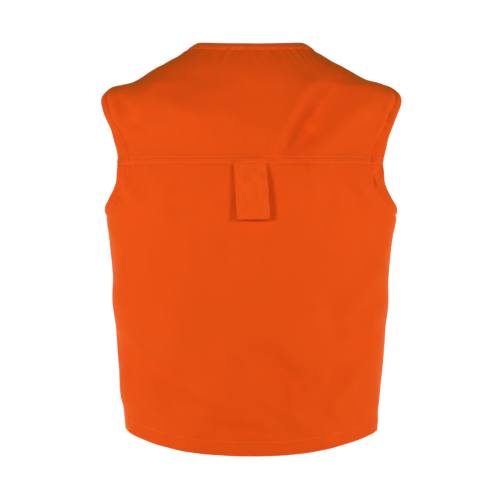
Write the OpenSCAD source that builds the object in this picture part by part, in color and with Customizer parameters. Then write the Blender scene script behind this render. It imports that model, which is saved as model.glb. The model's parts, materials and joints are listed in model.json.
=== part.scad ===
// Safety vest: a sleeveless V-neck shell with a yoke, a hanging tag loop on the back,
// an open-end zip and two flapped pockets on the front.
// Frame: +Z up, the front faces -Y, the wearer's left is +X.
// The origin lies between the shoulders, level with the sides of the neck.

/* [Body] */
// Height of the sides of the neck above the lowest point of the hem
shoulder_h = 643; // [606:1:686]
// Half the width of the shell at the hem
hem_half_w = 199; // [190:1:210]
// Half the width of the shell at the armpits
chest_half_w = 230; // [220:1:240]
// Half the width across the shoulder tips
tip_half_w = 239; // [230:1:248]
// Half the width of the neck opening
neck_half_w = 85; // [80:1:96]
// Depth of the back from the side seams, at the shoulder blades
back_depth = 127; // [115:1:140]
// Depth of the front from the side seams
front_depth = 118; // [105:1:130]
// Squareness of the back's cross-section, where 2 is an ellipse
back_square = 2.4; // [2.2:0.1:3]
// Squareness of the front's cross-section
front_square = 2.8; // [2.2:0.1:3]
// How far the hem rises from the centre of the back to the side seams
hem_rise = 31; // [10:1:40]
// How far the front hem's centre stands above the back hem's centre
front_hem_lift = 20; // [10:1:30]
// Thickness of the sewn shell
cloth_t = 1.6; // [1.2:0.1:2]

/* [Openings] */
// Height of the bottom of the armhole
armpit_h = 387; // [366:1:391]
// Height of the top of the armhole, at the shoulder tip
tip_h = 561; // [554:1:566]
// Half the width of the armhole, back of the side seam
armhole_back = 64; // [50:1:68]
// Half the width of the armhole, front of the side seam
armhole_front = 66; // [50:1:68]
// How far the armhole widens towards its lower end, as a share of its width
armhole_skew = 0.45; // [0:0.05:0.5]
// Height of the point of the V neck
vee_h = 491; // [476:1:493]
// Width of the facing inside each armhole
facing_w = 16; // [10:1:20]
// Width of the band round the neck
neck_band_w = 10; // [8:1:14]

/* [Yoke and tag loop] */
// Height of the yoke seam across the back
yoke_h = 453; // [441:1:466]
// Width of the hanging tag loop
tag_w = 49; // [40:1:60]
// Length of the hanging tag loop
tag_l = 87; // [70:1:95]
// Sideways lean of the tag loop over its length
tag_lean = -6; // [-8:0.5:8]
// Gap between the two layers of the tag loop
tag_gap = 5.4; // [4.6:0.1:8]

/* [Zip] */
// Distance from the centre line to the tips of the teeth
tooth_tip = 3.5; // [3.5:0.1:4.5]
// Distance between teeth
tooth_pitch = 4; // [3:0.5:5]
// Height of the lower end of the zip above the lowest point of the hem
zip_bottom = 22; // [21:1:30]
// Distance from the centre line to the front panel's edge
panel_edge = 12; // [11:0.5:14]

/* [Pockets] */
// Distance from the centre line to the pocket
pocket_in = 40; // [35:1:50]
// Width of each pocket
pocket_w = 120; // [100:1:125]
// Height of the bottom of the pocket
pocket_bottom = 78; // [70:1:90]
// Height of the pocket's mouth
pocket_top = 240; // [225:1:250]
// How far the pocket stands off the panel at its mouth
pocket_deep = 14; // [10:1:16]
// Length of the flap below its sewn edge
flap_l = 58; // [50:1:64]

/* [Hidden] */

shell_colour = [0.91, 0.32, 0.08];
trim_colour = [0.95, 0.38, 0.11];
tape_colour = [0.88, 0.30, 0.08];
plastic_colour = [0.12, 0.12, 0.13];
metal_colour = [0.45, 0.44, 0.42];
label_colour = [0.93, 0.92, 0.88];

BACK = 1;
FRONT = -1;
// Half the gap kept between pieces on two sides of a seam that opens
seam_gap = 0.2;
// Gap between layers of cloth that lie on each other
layer_gap = 0.4;
// How far a band folded over the neck's edge stands off both faces of the shell
band_stand = 0.5;
// Gap between the yoke and that band
band_seam = 0.3;
// Depth of inner trims below the shell's inner face
inner_gap = 2.1;
// Gap between the front panel and the band along the V neck, across the body
band_gap = 1.6;
tooth_long = 4.6;
tooth_thick = 2.8;
tape_t = 0.8;
tape_w = 20;
// Gap round the tape inside moulded parts
tape_clear = 0.05;
zip_top = vee_h - 8;
slider_w = 11;
slider_h = 14;
box_h = 10;

// [height, value] knots of the shell's half-width and of its two depths
width_knots = [
    [0, hem_half_w - 2], [46, hem_half_w + 1], [141, hem_half_w + 11.5],
    [269, chest_half_w - 11.5], [362, chest_half_w - 2.5], [388, chest_half_w - 1],
    [446, chest_half_w + 2], [506, tip_half_w - 4], [538, tip_half_w - 1],
    [554, tip_half_w - 2], [564, tip_half_w - 9], [573, tip_half_w - 23],
    [583, tip_half_w - 53], [602, neck_half_w + 68], [621, neck_half_w + 33],
    [643, neck_half_w]
];
back_knots = [
    [0, back_depth - 15], [106, back_depth - 15], [286, back_depth - 8],
    [386, back_depth - 2], [453, back_depth], [506, back_depth - 5],
    [546, back_depth - 15], [586, back_depth - 31], [616, back_depth - 49],
    [643, back_depth - 70]
];
front_knots = [
    [0, front_depth], [446, front_depth], [494, front_depth], [502, front_depth - 0.4],
    [531, front_depth - 6], [566, front_depth - 20], [606, front_depth - 42],
    [643, front_depth - 68]
];
knots_h = 643;

function lerp(a, b, t) = a + (b - a) * t;
function unit(v) = v / norm(v);

// Smooth curve through [position, value] knots
function knot(k, i) = k[max(0, min(len(k) - 1, i))];
function knot_slope(k, i) =
    let (a = knot(k, i - 1), b = knot(k, i + 1)) (b[1] - a[1]) / (b[0] - a[0]);
function span_of(k, z, i = 0) =
    (i >= len(k) - 2 || z < k[i + 1][0]) ? i : span_of(k, z, i + 1);
function through(k, z) =
    let (
        i = span_of(k, z), a = k[i], b = k[i + 1], h = b[0] - a[0], t = (z - a[0]) / h,
        m0 = knot_slope(k, i) * h, m1 = knot_slope(k, i + 1) * h
    )
    (2 * t^3 - 3 * t^2 + 1) * a[1] + (t^3 - 2 * t^2 + t) * m0
    + (3 * t^2 - 2 * t^3) * b[1] + (t^3 - t^2) * m1;

function half_w(z) = through(width_knots, z * knots_h / shoulder_h);
function depth(z, s) = through(s == BACK ? back_knots : front_knots, z * knots_h / shoulder_h);
function square_of(s) = s == BACK ? back_square : front_square;

// Point on the inner face of the shell: a is 0 at the left side seam, 90 at the centre
// and 180 at the right side seam, and s is BACK or FRONT
function body_pt(a, z, s) =
    let (e = 2 / square_of(s), c = cos(a))
    [sign(c) * half_w(z) * pow(abs(c), e), s * depth(z, s) * pow(max(sin(a), 0), e), z];
function body_n(a, z, s) =
    let (
        across = body_pt(min(a + 1.5, 180), z, s) - body_pt(max(a - 1.5, 0), z, s),
        up = body_pt(a, z + 1, s) - body_pt(a, z - 1, s)
    )
    s * unit(cross(across, up));

// The same point moved out of the shell by d, in the part's frame
function skin(a, z, s, d) =
    let (p = body_pt(a, z, s) + d * body_n(a, z, s))
    [p[0], s * max(s * p[1], seam_gap), p[2] - shoulder_h];

// Angle at which the shell passes a distance x from the centre, or y from the side seams
function angle_at_x(x, z, s) = acos(min(1, pow(x / half_w(z), square_of(s) / 2)));
function angle_at_y(y, z, s) = asin(min(1, pow(y / depth(z, s), square_of(s) / 2)));

armhole_mid = (armpit_h + tip_h) / 2;
armhole_half_h = (tip_h - armpit_h) / 2;
function armhole_w(s) = s == BACK ? armhole_back : armhole_front;
function armhole_y(z, s) =
    let (u = (z - armhole_mid) / armhole_half_h)
    armhole_w(s) * (1 - armhole_skew * u) * sqrt(max(0, 1 - u * u));
function edge_angle(z, s) = angle_at_y(armhole_y(z, s), z, s);

// Hem height round the body, and the height of the neck's edge
function hem_z(a, s) =
    s == BACK ? hem_rise * pow(cos(a), 2)
              : lerp(front_hem_lift, hem_rise, pow(cos(a), 2));
function neck_z(a) = shoulder_h - 6 * pow(sin(a), 2);
// Rows below this height follow the hem
hem_zone = 60;
function row_z(z, a, s) = z >= hem_zone ? z : lerp(hem_z(a, s), hem_zone, z / hem_zone);

// Inner edge of the front panel: straight beside the zip, then along the V neck
function vee_x(z) =
    let (t = max(0, (z - vee_h) / (shoulder_h - vee_h))) lerp(panel_edge, neck_half_w, pow(t, 0.85));
// Width of the band along it, measured across the body, growing from the point of the V
vee_fade = 16;
function vee_band(z) = neck_band_w * 1.2 * min(1, max(0, (z - vee_h) / vee_fade));
// Inner edge of the panel, which stops at the band
function panel_x(z) = vee_x(z) + vee_band(z) + (z > vee_h ? band_gap : 0);

// Closed solid between an outer and an inner grid of points
function quad(a, b, c, d, flip) = flip ? [[a, c, b], [a, d, c]] : [[a, b, c], [a, c, d]];
module cloth(outer, inner) {
    rows = len(outer);
    cols = len(outer[0]);
    layer = rows * cols;
    // Two neighbours in the middle of the grid tell which way its faces wind
    i0 = floor((rows - 1) / 2);
    j0 = floor((cols - 1) / 2);
    from = outer[i0][j0];
    flip = cross(outer[i0 + 1][j0] - from, outer[i0][j0 + 1] - from) * (from - inner[i0][j0]) > 0;
    faces = [
        for (i = [0:rows - 2], j = [0:cols - 2])
            let (a = i * cols + j)
            each concat(
                quad(a, a + cols, a + cols + 1, a + 1, flip),
                quad(a + layer, a + cols + layer, a + cols + 1 + layer, a + 1 + layer, !flip)
            ),
        for (i = [0:rows - 2], end = [0, cols - 1])
            let (a = i * cols + end)
            each quad(a, a + layer, a + cols + layer, a + cols, end == 0 ? flip : !flip),
        for (j = [0:cols - 2], end = [0, rows - 1])
            let (a = end * cols + j)
            each quad(a, a + layer, a + 1 + layer, a + 1, end == 0 ? !flip : flip)
    ];
    polyhedron(
        points = concat([for (row = outer) each row], [for (row = inner) each row]),
        faces = faces, convexity = 6
    );
}

// Rows of heights, closer together next to the armhole's ends
back_rows = concat(
    [for (i = [0:6]) (armpit_h - 8) * i / 6],
    [for (i = [0:6]) lerp(armpit_h - 1, yoke_h - seam_gap, 1 - cos(90 * i / 6))]
);
yoke_rows = concat(
    [for (i = [0:5]) lerp(yoke_h + seam_gap, tip_h - 1, sin(90 * i / 5))],
    [for (i = [0:5]) lerp(tip_h + 3, shoulder_h - neck_band_w - band_seam, i / 5)]
);
vee_rows = concat(
    [for (i = [1:4]) vee_h + vee_fade * i / 4],
    [for (i = [1:5]) lerp(vee_h + vee_fade, tip_h - 1, sin(90 * i / 5))],
    [for (i = [0:6]) lerp(tip_h + 3, shoulder_h - 8, i / 6)]
);
front_rows = concat(
    [for (i = [0:6]) (armpit_h - 8) * i / 6],
    [for (i = [0:5]) lerp(armpit_h - 1, vee_h, 1 - cos(90 * i / 5))],
    vee_rows
);

// Back shell between the rows given, from one side or armhole edge to the other
back_cols = 28;
module back_shell(rows) {
    function at(z, j, d) =
        let (e = edge_angle(z, BACK), a = lerp(e, 180 - e, j / back_cols), zz = row_z(z, a, BACK))
        skin(a, z > tip_h ? min(zz, neck_z(a) - neck_band_w - band_seam) : zz, BACK, d);
    cloth(
        [for (z = rows) [for (j = [0:back_cols]) at(z, j, cloth_t)]],
        [for (z = rows) [for (j = [0:back_cols]) at(z, j, 0)]]
    );
}

module back_yoke() { color(shell_colour) back_shell(yoke_rows); }
module back_panel() { color(shell_colour) back_shell(back_rows); }

// Left front shell, from the side or armhole edge to the zip or the V neck
front_cols = 12;
module front_shell() {
    function at(z, j, d) =
        let (
            outer = edge_angle(z, FRONT), inner = angle_at_x(panel_x(z), z, FRONT),
            a = lerp(outer, inner, j / front_cols)
        )
        skin(a, row_z(z, a, FRONT), FRONT, d);
    cloth(
        [for (z = front_rows) [for (j = [0:front_cols]) at(z, j, cloth_t)]],
        [for (z = front_rows) [for (j = [0:front_cols]) at(z, j, 0)]]
    );
}

module front_panel_left() { color(shell_colour) front_shell(); }
module front_panel_right() { color(shell_colour) mirror([1, 0, 0]) front_shell(); }

// Band folded over the back neck's edge
module back_neck_band() {
    function at(a, up, d) = skin(a, neck_z(a) - neck_band_w * (1 - up), BACK, d);
    color(trim_colour) cloth(
        [for (a = [0:7.5:180]) [for (up = [0, 0.5, 1]) at(a, up, cloth_t + band_stand)]],
        [for (a = [0:7.5:180]) [for (up = [0, 0.5, 1]) at(a, up, -band_stand)]]
    );
}

// Band folded over the edge of the V neck
module neck_band_front() {
    rows = concat(vee_rows, [shoulder_h - 4, shoulder_h - 1.5]);
    function at(z, w, d) =
        let (x = min(vee_x(z) + w * vee_band(z), half_w(z))) skin(angle_at_x(x, z, FRONT), z, FRONT, d);
    color(trim_colour) cloth(
        [for (z = rows) [for (w = [0, 0.5, 1]) at(z, w, cloth_t + band_stand)]],
        [for (z = rows) [for (w = [0, 0.5, 1]) at(z, w, -band_stand)]]
    );
}
module neck_band_front_left() { neck_band_front(); }
module neck_band_front_right() { mirror([1, 0, 0]) neck_band_front(); }

// Facing inside one half of an armhole
module armhole_facing(s) {
    steps = 18;
    function at(t, w, d) =
        let (
            z = armhole_mid - (armhole_half_h + w) * cos(t),
            y = (armhole_w(s) * (1 + armhole_skew * cos(t)) + w) * sin(t)
        )
        skin(angle_at_y(y, z, s), z, s, d);
    color(trim_colour) cloth(
        [for (i = [0:steps]) [for (w = [0.5, facing_w]) at(180 * i / steps, w, -inner_gap)]],
        [for (i = [0:steps]) [for (w = [0.5, facing_w]) at(180 * i / steps, w, -inner_gap - 1)]]
    );
}
module armhole_facing_back_left() { armhole_facing(BACK); }
module armhole_facing_back_right() { mirror([1, 0, 0]) armhole_facing(BACK); }
module armhole_facing_front_left() { armhole_facing(FRONT); }
module armhole_facing_front_right() { mirror([1, 0, 0]) armhole_facing(FRONT); }

// Loop of tape inside the back neck, bowed away from the yoke
hanger_z = shoulder_h - 26;
hanger_half = 28;
hanger_bow = 9;
hanger_t = 1;
module hanger_loop() {
    ends_y = depth(hanger_z, BACK) - 3.6;
    function at(u, v, d) =
        [u * hanger_half, ends_y - hanger_bow * pow(cos(u * 90), 2) - d, hanger_z - shoulder_h + v * 3.5];
    color(trim_colour) cloth(
        [for (u = [-1:0.125:1]) [for (v = [-1, 1]) at(u, v, 0)]],
        [for (u = [-1:0.125:1]) [for (v = [-1, 1]) at(u, v, hanger_t)]]
    );
}

// Blank label sewn inside the back neck, below the hanger loop
label_half = 20;
label_l = 30;
module size_label() {
    function at(x, down, d) =
        let (z = hanger_z - 8 - down) skin(angle_at_x(abs(x), z, BACK), z, BACK, d);
    function placed(x, down, d) = let (p = at(x, down, d)) [sign(x) * p[0], p[1], p[2]];
    color(label_colour) cloth(
        [for (down = [0:10:label_l]) [for (x = [-label_half:10:label_half]) placed(x, down, -1.2)]],
        [for (down = [0:10:label_l]) [for (x = [-label_half:10:label_half]) placed(x, down, -1.8)]]
    );
}

// Hanging loop of doubled cloth: down the outer layer, round the fold and up the inner one
tag_top_z = yoke_h - 3.5;
tag_shift = 1.5;
function back_y(z) = depth(z, BACK) + cloth_t;
module tag_loop() {
    stand = 1.6;
    fold_r = tag_gap / 2;
    wall = 1.3;
    long = tag_l - fold_r;
    function swell(t) = 0.06 + 0.94 * sin(min(1, t * 2.2) * 90);
    // [distance out, distance down] of the loop's inner face
    path = concat(
        [for (i = [0:6]) [stand + wall + tag_gap * swell(i / 6), long * i / 6]],
        [for (t = [30:30:150]) [stand + wall + fold_r + fold_r * cos(t), long + fold_r * sin(t)]],
        [for (i = [6:-1:0]) [stand + wall, long * i / 6]]
    );
    // The same path, one wall further out
    outer = concat(
        [for (i = [0:6]) [stand + 2 * wall + tag_gap * swell(i / 6), long * i / 6]],
        [for (t = [30:30:150]) [stand + wall + fold_r + (fold_r + wall) * cos(t), long + (fold_r + wall) * sin(t)]],
        [for (i = [6:-1:0]) [stand, long * i / 6]]
    );
    function at(p, side) =
        let (z = tag_top_z - p[1])
        [side * tag_w / 2 + tag_shift + tag_lean * p[1] / tag_l, back_y(tag_top_z) + p[0], z - shoulder_h];
    color(trim_colour) cloth(
        [for (p = outer) [for (side = [-1, 1]) at(p, side)]],
        [for (p = path) [for (side = [-1, 1]) at(p, side)]]
    );
}

// Sewn end of the tag loop, caught in the yoke seam
module tag_loop_anchor() {
    color(trim_colour)
        translate([-tag_w / 2 + tag_shift, back_y(yoke_h) + layer_gap, yoke_h - 2.2 - shoulder_h])
            cube([tag_w, 3, 5]);
}

// Zip: tape and teeth run straight down the front edge
zip_y = -front_depth + 1;
tooth_root = tooth_tip + tooth_long - 1.6;
tooth_back = tooth_root + 1.4;
module zipper_tape() {
    color(tape_colour)
        translate([tooth_back + tape_clear, zip_y - tape_t / 2, zip_bottom - shoulder_h])
            cube([tape_w, tape_t, zip_top + 6 - zip_bottom]);
}
module zipper_tape_left() { zipper_tape(); }
module zipper_tape_right() { mirror([1, 0, 0]) zipper_tape(); }

// One comb of teeth, cut as a single strip
module zipper_teeth(shift, from) {
    count = floor((zip_top - from) / tooth_pitch);
    neck = tooth_pitch * 0.28;
    head = tooth_pitch * 0.30;
    outline = concat(
        [[0, from + shift]],
        [for (i = [0:count - 1]) let (z = from + shift + tooth_pitch * (i + 0.5))
            each [[0, z - neck], [-1.6, z - neck], [-2.2, z - head], [-tooth_long + 1.6, z - neck * 0.6],
                  [-tooth_long + 1.6, z + neck * 0.6], [-2.2, z + head], [-1.6, z + neck], [0, z + neck]]],
        [[0, zip_top + shift], [1.4, zip_top + shift], [1.4, from + shift]]
    );
    color(plastic_colour)
        translate([tooth_root, zip_y + tooth_thick / 2, -shoulder_h])
            rotate([90, 0, 0]) linear_extrude(tooth_thick) polygon(outline);
}
module zipper_teeth_left() { zipper_teeth(0, zip_bottom + box_h + 1); }
module zipper_teeth_right() {
    mirror([1, 0, 0]) zipper_teeth(tooth_pitch / 2, zip_bottom + box_h + 1);
}

// Stops above the last tooth on each side
module top_stop() {
    color(plastic_colour)
        translate([tooth_tip + 0.4, zip_y - 1.4, zip_top + 2.6 - shoulder_h])
            difference() {
                cube([5.4, 2.8, 3]);
                translate([tooth_long - 1.6, 1.4 - tape_t / 2 - tape_clear, -1])
                    cube([5, tape_t + 2 * tape_clear, 5]);
            }
}
module top_stop_left() { top_stop(); }
module top_stop_right() { mirror([1, 0, 0]) top_stop(); }

// Box at the lower end of the left side, which takes the right side's pin
box_left = -1.8;
module retainer_box() {
    color(plastic_colour)
        translate([0, zip_y, zip_bottom - shoulder_h])
            difference() {
                translate([box_left, -2.6, 0]) cube([11, 5.2, box_h]);
                translate([box_left + 1, -1.2, 2]) cube([2.4, 2.4, box_h]);
                translate([tooth_root, -tape_t / 2 - tape_clear, -1])
                    cube([9, tape_t + 2 * tape_clear, box_h + 2]);
            }
}

// Pin on the lower end of the right side
module insertion_pin() {
    color(plastic_colour)
        translate([-tooth_tip - 2.4, zip_y - 1.1, zip_bottom - shoulder_h]) difference() {
            translate([-2.2, 0, 0]) cube([4.2, 2.2, box_h + 0.6]);
            translate([-4, 1.1 - tape_t / 2 - tape_clear, -1])
                cube([2.4, tape_t + 2 * tape_clear, box_h + 4]);
        }
}

// Guard strip behind the teeth, on the right front
placket_z = zip_bottom + 32;
module zipper_placket() {
    color(shell_colour)
        translate([-30, -front_depth + 5.2, placket_z - shoulder_h])
            cube([32.4, 1, zip_top - placket_z]);
}

// Slider on the left row of teeth, and the lug that holds its pull
slider_z = zip_bottom + box_h + 0.5;
slider_x = tooth_tip;
plate_t = 1.3;
rim_t = 0.6;
channel = tooth_thick / 2 + 0.5;
lug_r = 1.9;
lug_t = 1.8;
pin_r = 0.9;
pin_clear = 0.06;
lug_y = -channel - plate_t - 1.9;
lug_z = slider_h - 4;
module zipper_slider() {
    color(metal_colour)
        translate([slider_x, zip_y, slider_z - shoulder_h])
            difference() {
                union() {
                    for (s = [-1, 1])
                        translate([-slider_w / 2, s > 0 ? channel : -channel - plate_t, 0])
                            cube([slider_w, plate_t, slider_h]);
                    for (side = [-slider_w / 2, slider_w / 2 - rim_t], y = [0.9, -channel - 0.1])
                        translate([side, y, 0]) cube([rim_t, channel - 0.8, slider_h]);
                    translate([-3.4, -channel - 0.1, slider_h - 5]) cube([2.6, 2 * channel + 0.2, 5]);
                    translate([-lug_t / 2, lug_y, lug_z]) rotate([0, 90, 0]) cylinder(r = lug_r, h = lug_t, $fn = 32);
                    translate([-lug_t / 2, lug_y, lug_z - lug_r]) cube([lug_t, -lug_y - channel, 2 * lug_r]);
                }
                translate([-lug_t, lug_y, lug_z])
                    rotate([0, 90, 0]) cylinder(r = pin_r + pin_clear, h = 2 * lug_t, $fn = 32);
            }
}

// Pull tab: a fork with its own pin, hanging from the slider's lug, with an eye at its end
pull_w = 7.4;
pull_l = 30;
pull_t = 1.8;
// Distance from the pull's centre to each arm of its fork, and the arm's thickness
fork_in = 1.2;
fork_t = 1.5;
fork_w = 2 * (fork_in + fork_t);
eye_r = 1.8;
module zipper_pull() {
    back = -pull_t * 0.9;
    eye_z = -pull_l + pull_w / 2;
    color(metal_colour)
        translate([slider_x, zip_y + lug_y, slider_z + lug_z - shoulder_h])
            difference() {
                union() {
                    for (s = [-1, 1])
                        translate([s > 0 ? fork_in : -fork_in - fork_t, 0, 0]) {
                            rotate([0, 90, 0]) cylinder(r = -back, h = fork_t, $fn = 32);
                            translate([0, back, -5.5]) cube([fork_t, pull_t, 5.5]);
                        }
                    translate([-fork_w / 2, back, -9]) cube([fork_w, pull_t, 3.6]);
                    translate([-pull_w / 2, back, eye_z]) cube([pull_w, pull_t, -eye_z - 8]);
                    translate([0, back, eye_z]) rotate([-90, 0, 0]) cylinder(r = pull_w / 2, h = pull_t, $fn = 48);
                    translate([-fork_w / 2, 0, 0]) rotate([0, 90, 0]) cylinder(r = pin_r, h = fork_w, $fn = 32);
                }
                translate([0, back - 1, eye_z]) rotate([-90, 0, 0]) cylinder(r = eye_r, h = pull_t + 2, $fn = 48);
            }
}

// Pocket: a wall that stands off the panel at its mouth and closes to it at its foot
pocket_wall = 1.4;
pocket_out = pocket_in + pocket_w;
pocket_base = cloth_t + layer_gap;
function pocket_d(z) =
    let (t = (z - pocket_bottom) / (pocket_top - pocket_bottom))
    pocket_base + pocket_wall + 0.4 + (pocket_deep - 1.8) * sin(90 * pow(t, 0.7));
module pocket_bag() {
    rows = [for (i = [0:8]) lerp(pocket_bottom, pocket_top, i / 8)];
    across = 10;
    function at(x, z, d) = skin(angle_at_x(x, z, FRONT), z, FRONT, d);
    function wall(z, in, base) =
        concat(
            [at(pocket_in + in, z, base)],
            [for (i = [0:across]) at(lerp(pocket_in + in, pocket_out - in, i / across), z, pocket_d(z) - in)],
            [at(pocket_out - in, z, base)]
        );
    color(shell_colour) cloth(
        [for (z = rows) wall(z, 0, pocket_base)],
        [for (z = rows) wall(z, pocket_wall, pocket_base)]
    );
}
module pocket_bag_left() { pocket_bag(); }
module pocket_bag_right() { mirror([1, 0, 0]) pocket_bag(); }

// Flap: sewn to the panel above the pocket and folded down over its mouth
flap_top = pocket_top + 16;
flap_stand = pocket_d(pocket_top) + 2.8;
flap_t = 1.4;
module pocket_flap() {
    // [height, distance off the panel]
    rows = [
        [flap_top, pocket_base], [flap_top - 3, flap_stand * 0.45], [flap_top - 8, flap_stand * 0.85],
        [flap_top - 14, flap_stand], [lerp(flap_top - 14, flap_top - flap_l, 0.5), flap_stand],
        [flap_top - flap_l, flap_stand - 0.6]
    ];
    across = 10;
    function at(x, r, d) = skin(angle_at_x(x, r[0], FRONT), r[0], FRONT, r[1] + d);
    color(shell_colour) cloth(
        [for (r = rows) [for (i = [0:across]) at(lerp(pocket_in - 3, pocket_out + 3, i / across), r, flap_t)]],
        [for (r = rows) [for (i = [0:across]) at(lerp(pocket_in - 3, pocket_out + 3, i / across), r, 0)]]
    );
}
module pocket_flap_left() { pocket_flap(); }
module pocket_flap_right() { mirror([1, 0, 0]) pocket_flap(); }

// Places a child on the panel at the snap, with the child's +Z pointing out of it
snap_x = pocket_in + pocket_w / 2;
snap_z = flap_top - flap_l + 13;
module at_snap() {
    a = angle_at_x(snap_x, snap_z, FRONT);
    n = body_n(a, snap_z, FRONT);
    translate(skin(a, snap_z, FRONT, 0))
        rotate([0, 0, atan2(n[1], n[0])]) rotate([0, 90, 0]) children();
}
module snap_stud() {
    color(metal_colour) at_snap() translate([0, 0, pocket_d(snap_z) + 0.25]) {
        cylinder(r = 5.5, h = 0.6, $fn = 48);
        cylinder(r = 2.1, h = 2.1, $fn = 32);
    }
}
module snap_cap() {
    color(metal_colour) at_snap() {
        translate([0, 0, flap_stand - 1.9]) difference() {
            cylinder(r = 5, h = 1.3, $fn = 48);
            translate([0, 0, -1]) cylinder(r = 2.6, h = 4, $fn = 48);
        }
        translate([0, 0, flap_stand + flap_t + 0.1]) {
            cylinder(r = 6.2, h = 0.9, $fn = 48);
            cylinder(r1 = 6.2, r2 = 4.6, h = 1.6, $fn = 48);
        }
    }
}
module snap_stud_left() { snap_stud(); }
module snap_stud_right() { mirror([1, 0, 0]) snap_stud(); }
module snap_cap_left() { snap_cap(); }
module snap_cap_right() { mirror([1, 0, 0]) snap_cap(); }

back_yoke();
back_panel();
back_neck_band();
armhole_facing_back_left();
armhole_facing_back_right();
hanger_loop();
size_label();
tag_loop();
tag_loop_anchor();
front_panel_left();
front_panel_right();
neck_band_front_left();
neck_band_front_right();
armhole_facing_front_left();
armhole_facing_front_right();
zipper_tape_left();
zipper_tape_right();
zipper_teeth_left();
zipper_teeth_right();
top_stop_left();
top_stop_right();
retainer_box();
insertion_pin();
zipper_placket();
zipper_slider();
zipper_pull();
pocket_bag_left();
pocket_bag_right();
pocket_flap_left();
pocket_flap_right();
snap_stud_left();
snap_stud_right();
snap_cap_left();
snap_cap_right();
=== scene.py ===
"""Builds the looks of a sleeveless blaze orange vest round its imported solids.

The shell's outline is worked out here as it is in the part's own source, in millimetres,
with heights above the lowest point of the hem. Meshes are in metres, in the part's frame.
"""
import json
import math

import bpy
import numpy as np
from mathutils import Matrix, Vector


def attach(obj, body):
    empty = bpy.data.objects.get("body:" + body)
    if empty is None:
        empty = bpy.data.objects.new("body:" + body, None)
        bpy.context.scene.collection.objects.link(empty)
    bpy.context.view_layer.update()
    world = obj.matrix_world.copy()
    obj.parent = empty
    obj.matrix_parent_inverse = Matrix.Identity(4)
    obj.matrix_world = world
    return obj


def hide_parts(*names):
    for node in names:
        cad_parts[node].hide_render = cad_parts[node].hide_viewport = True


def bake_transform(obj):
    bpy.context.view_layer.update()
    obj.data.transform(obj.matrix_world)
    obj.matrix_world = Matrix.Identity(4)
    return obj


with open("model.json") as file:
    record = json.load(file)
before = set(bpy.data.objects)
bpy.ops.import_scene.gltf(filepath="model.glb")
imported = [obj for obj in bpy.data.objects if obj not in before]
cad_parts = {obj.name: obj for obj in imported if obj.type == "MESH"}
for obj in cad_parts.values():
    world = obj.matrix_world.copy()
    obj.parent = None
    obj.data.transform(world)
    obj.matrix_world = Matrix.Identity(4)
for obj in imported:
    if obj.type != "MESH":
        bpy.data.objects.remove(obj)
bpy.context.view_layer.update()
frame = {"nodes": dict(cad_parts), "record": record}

bl_info = {
    "name": "Safety vest",
    "version": (1, 0, 0),
    "blender": (4, 5, 0),
    "location": "View3D > Sidebar > Vest",
    "description": "Cloth, seams, zip and stage of a sleeveless vest",
    "category": "Object",
}

MM = 0.001
BACK, FRONT = 1, -1
SIDES = {"left": 1, "right": -1}

# Shell, as in the part's source
SHOULDER_H = 643.0
BACK_SQUARE, FRONT_SQUARE = 2.4, 2.8
HEM_RISE, FRONT_HEM_LIFT, HEM_ZONE = 31.0, 20.0, 60.0
ARMPIT_H, TIP_H = 387.0, 561.0
ARMHOLE_W = {BACK: 64.0, FRONT: 66.0}
ARMHOLE_SKEW = 0.45
NECK_HALF, NECK_BAND = 85.0, 10.0
VEE_H, VEE_FADE, PANEL_EDGE = 491.0, 16.0, 12.0
YOKE_H = 453.0
ZIP_Y, ZIP_BOTTOM, ZIP_TOP = -117.0, 22.0, 483.0
POCKET_IN, POCKET_OUT, POCKET_BOTTOM, POCKET_TOP, POCKET_DEEP = 40.0, 160.0, 78.0, 240.0, 14.0
POCKET_HEM = 16.0
FLAP_TOP, FLAP_L, FLAP_WIDER = 256.0, 58.0, 3.0
SNAP_X, SNAP_Z = 100.0, 211.0
TAG_W, TAG_L, TAG_LEAN, TAG_SHIFT = 49.0, 87.0, -6.0, 1.5

# [height, value] knots of the half-width and of the two depths
WIDTH = np.array([
    [0, 197], [46, 200], [141, 210.5], [269, 218.5], [362, 227.5], [388, 229], [446, 232],
    [506, 235], [538, 238], [554, 237], [564, 230], [573, 216], [583, 186], [602, 153],
    [621, 118], [643, 85]], float)
BACK_DEPTH = np.array([
    [0, 112], [106, 112], [286, 119], [386, 125], [453, 127], [506, 122], [546, 112],
    [586, 96], [616, 78], [643, 57]], float)
FRONT_DEPTH = np.array([
    [0, 118], [446, 118], [494, 118], [502, 117.6], [531, 112], [566, 98], [606, 76],
    [643, 50]], float)


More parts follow.
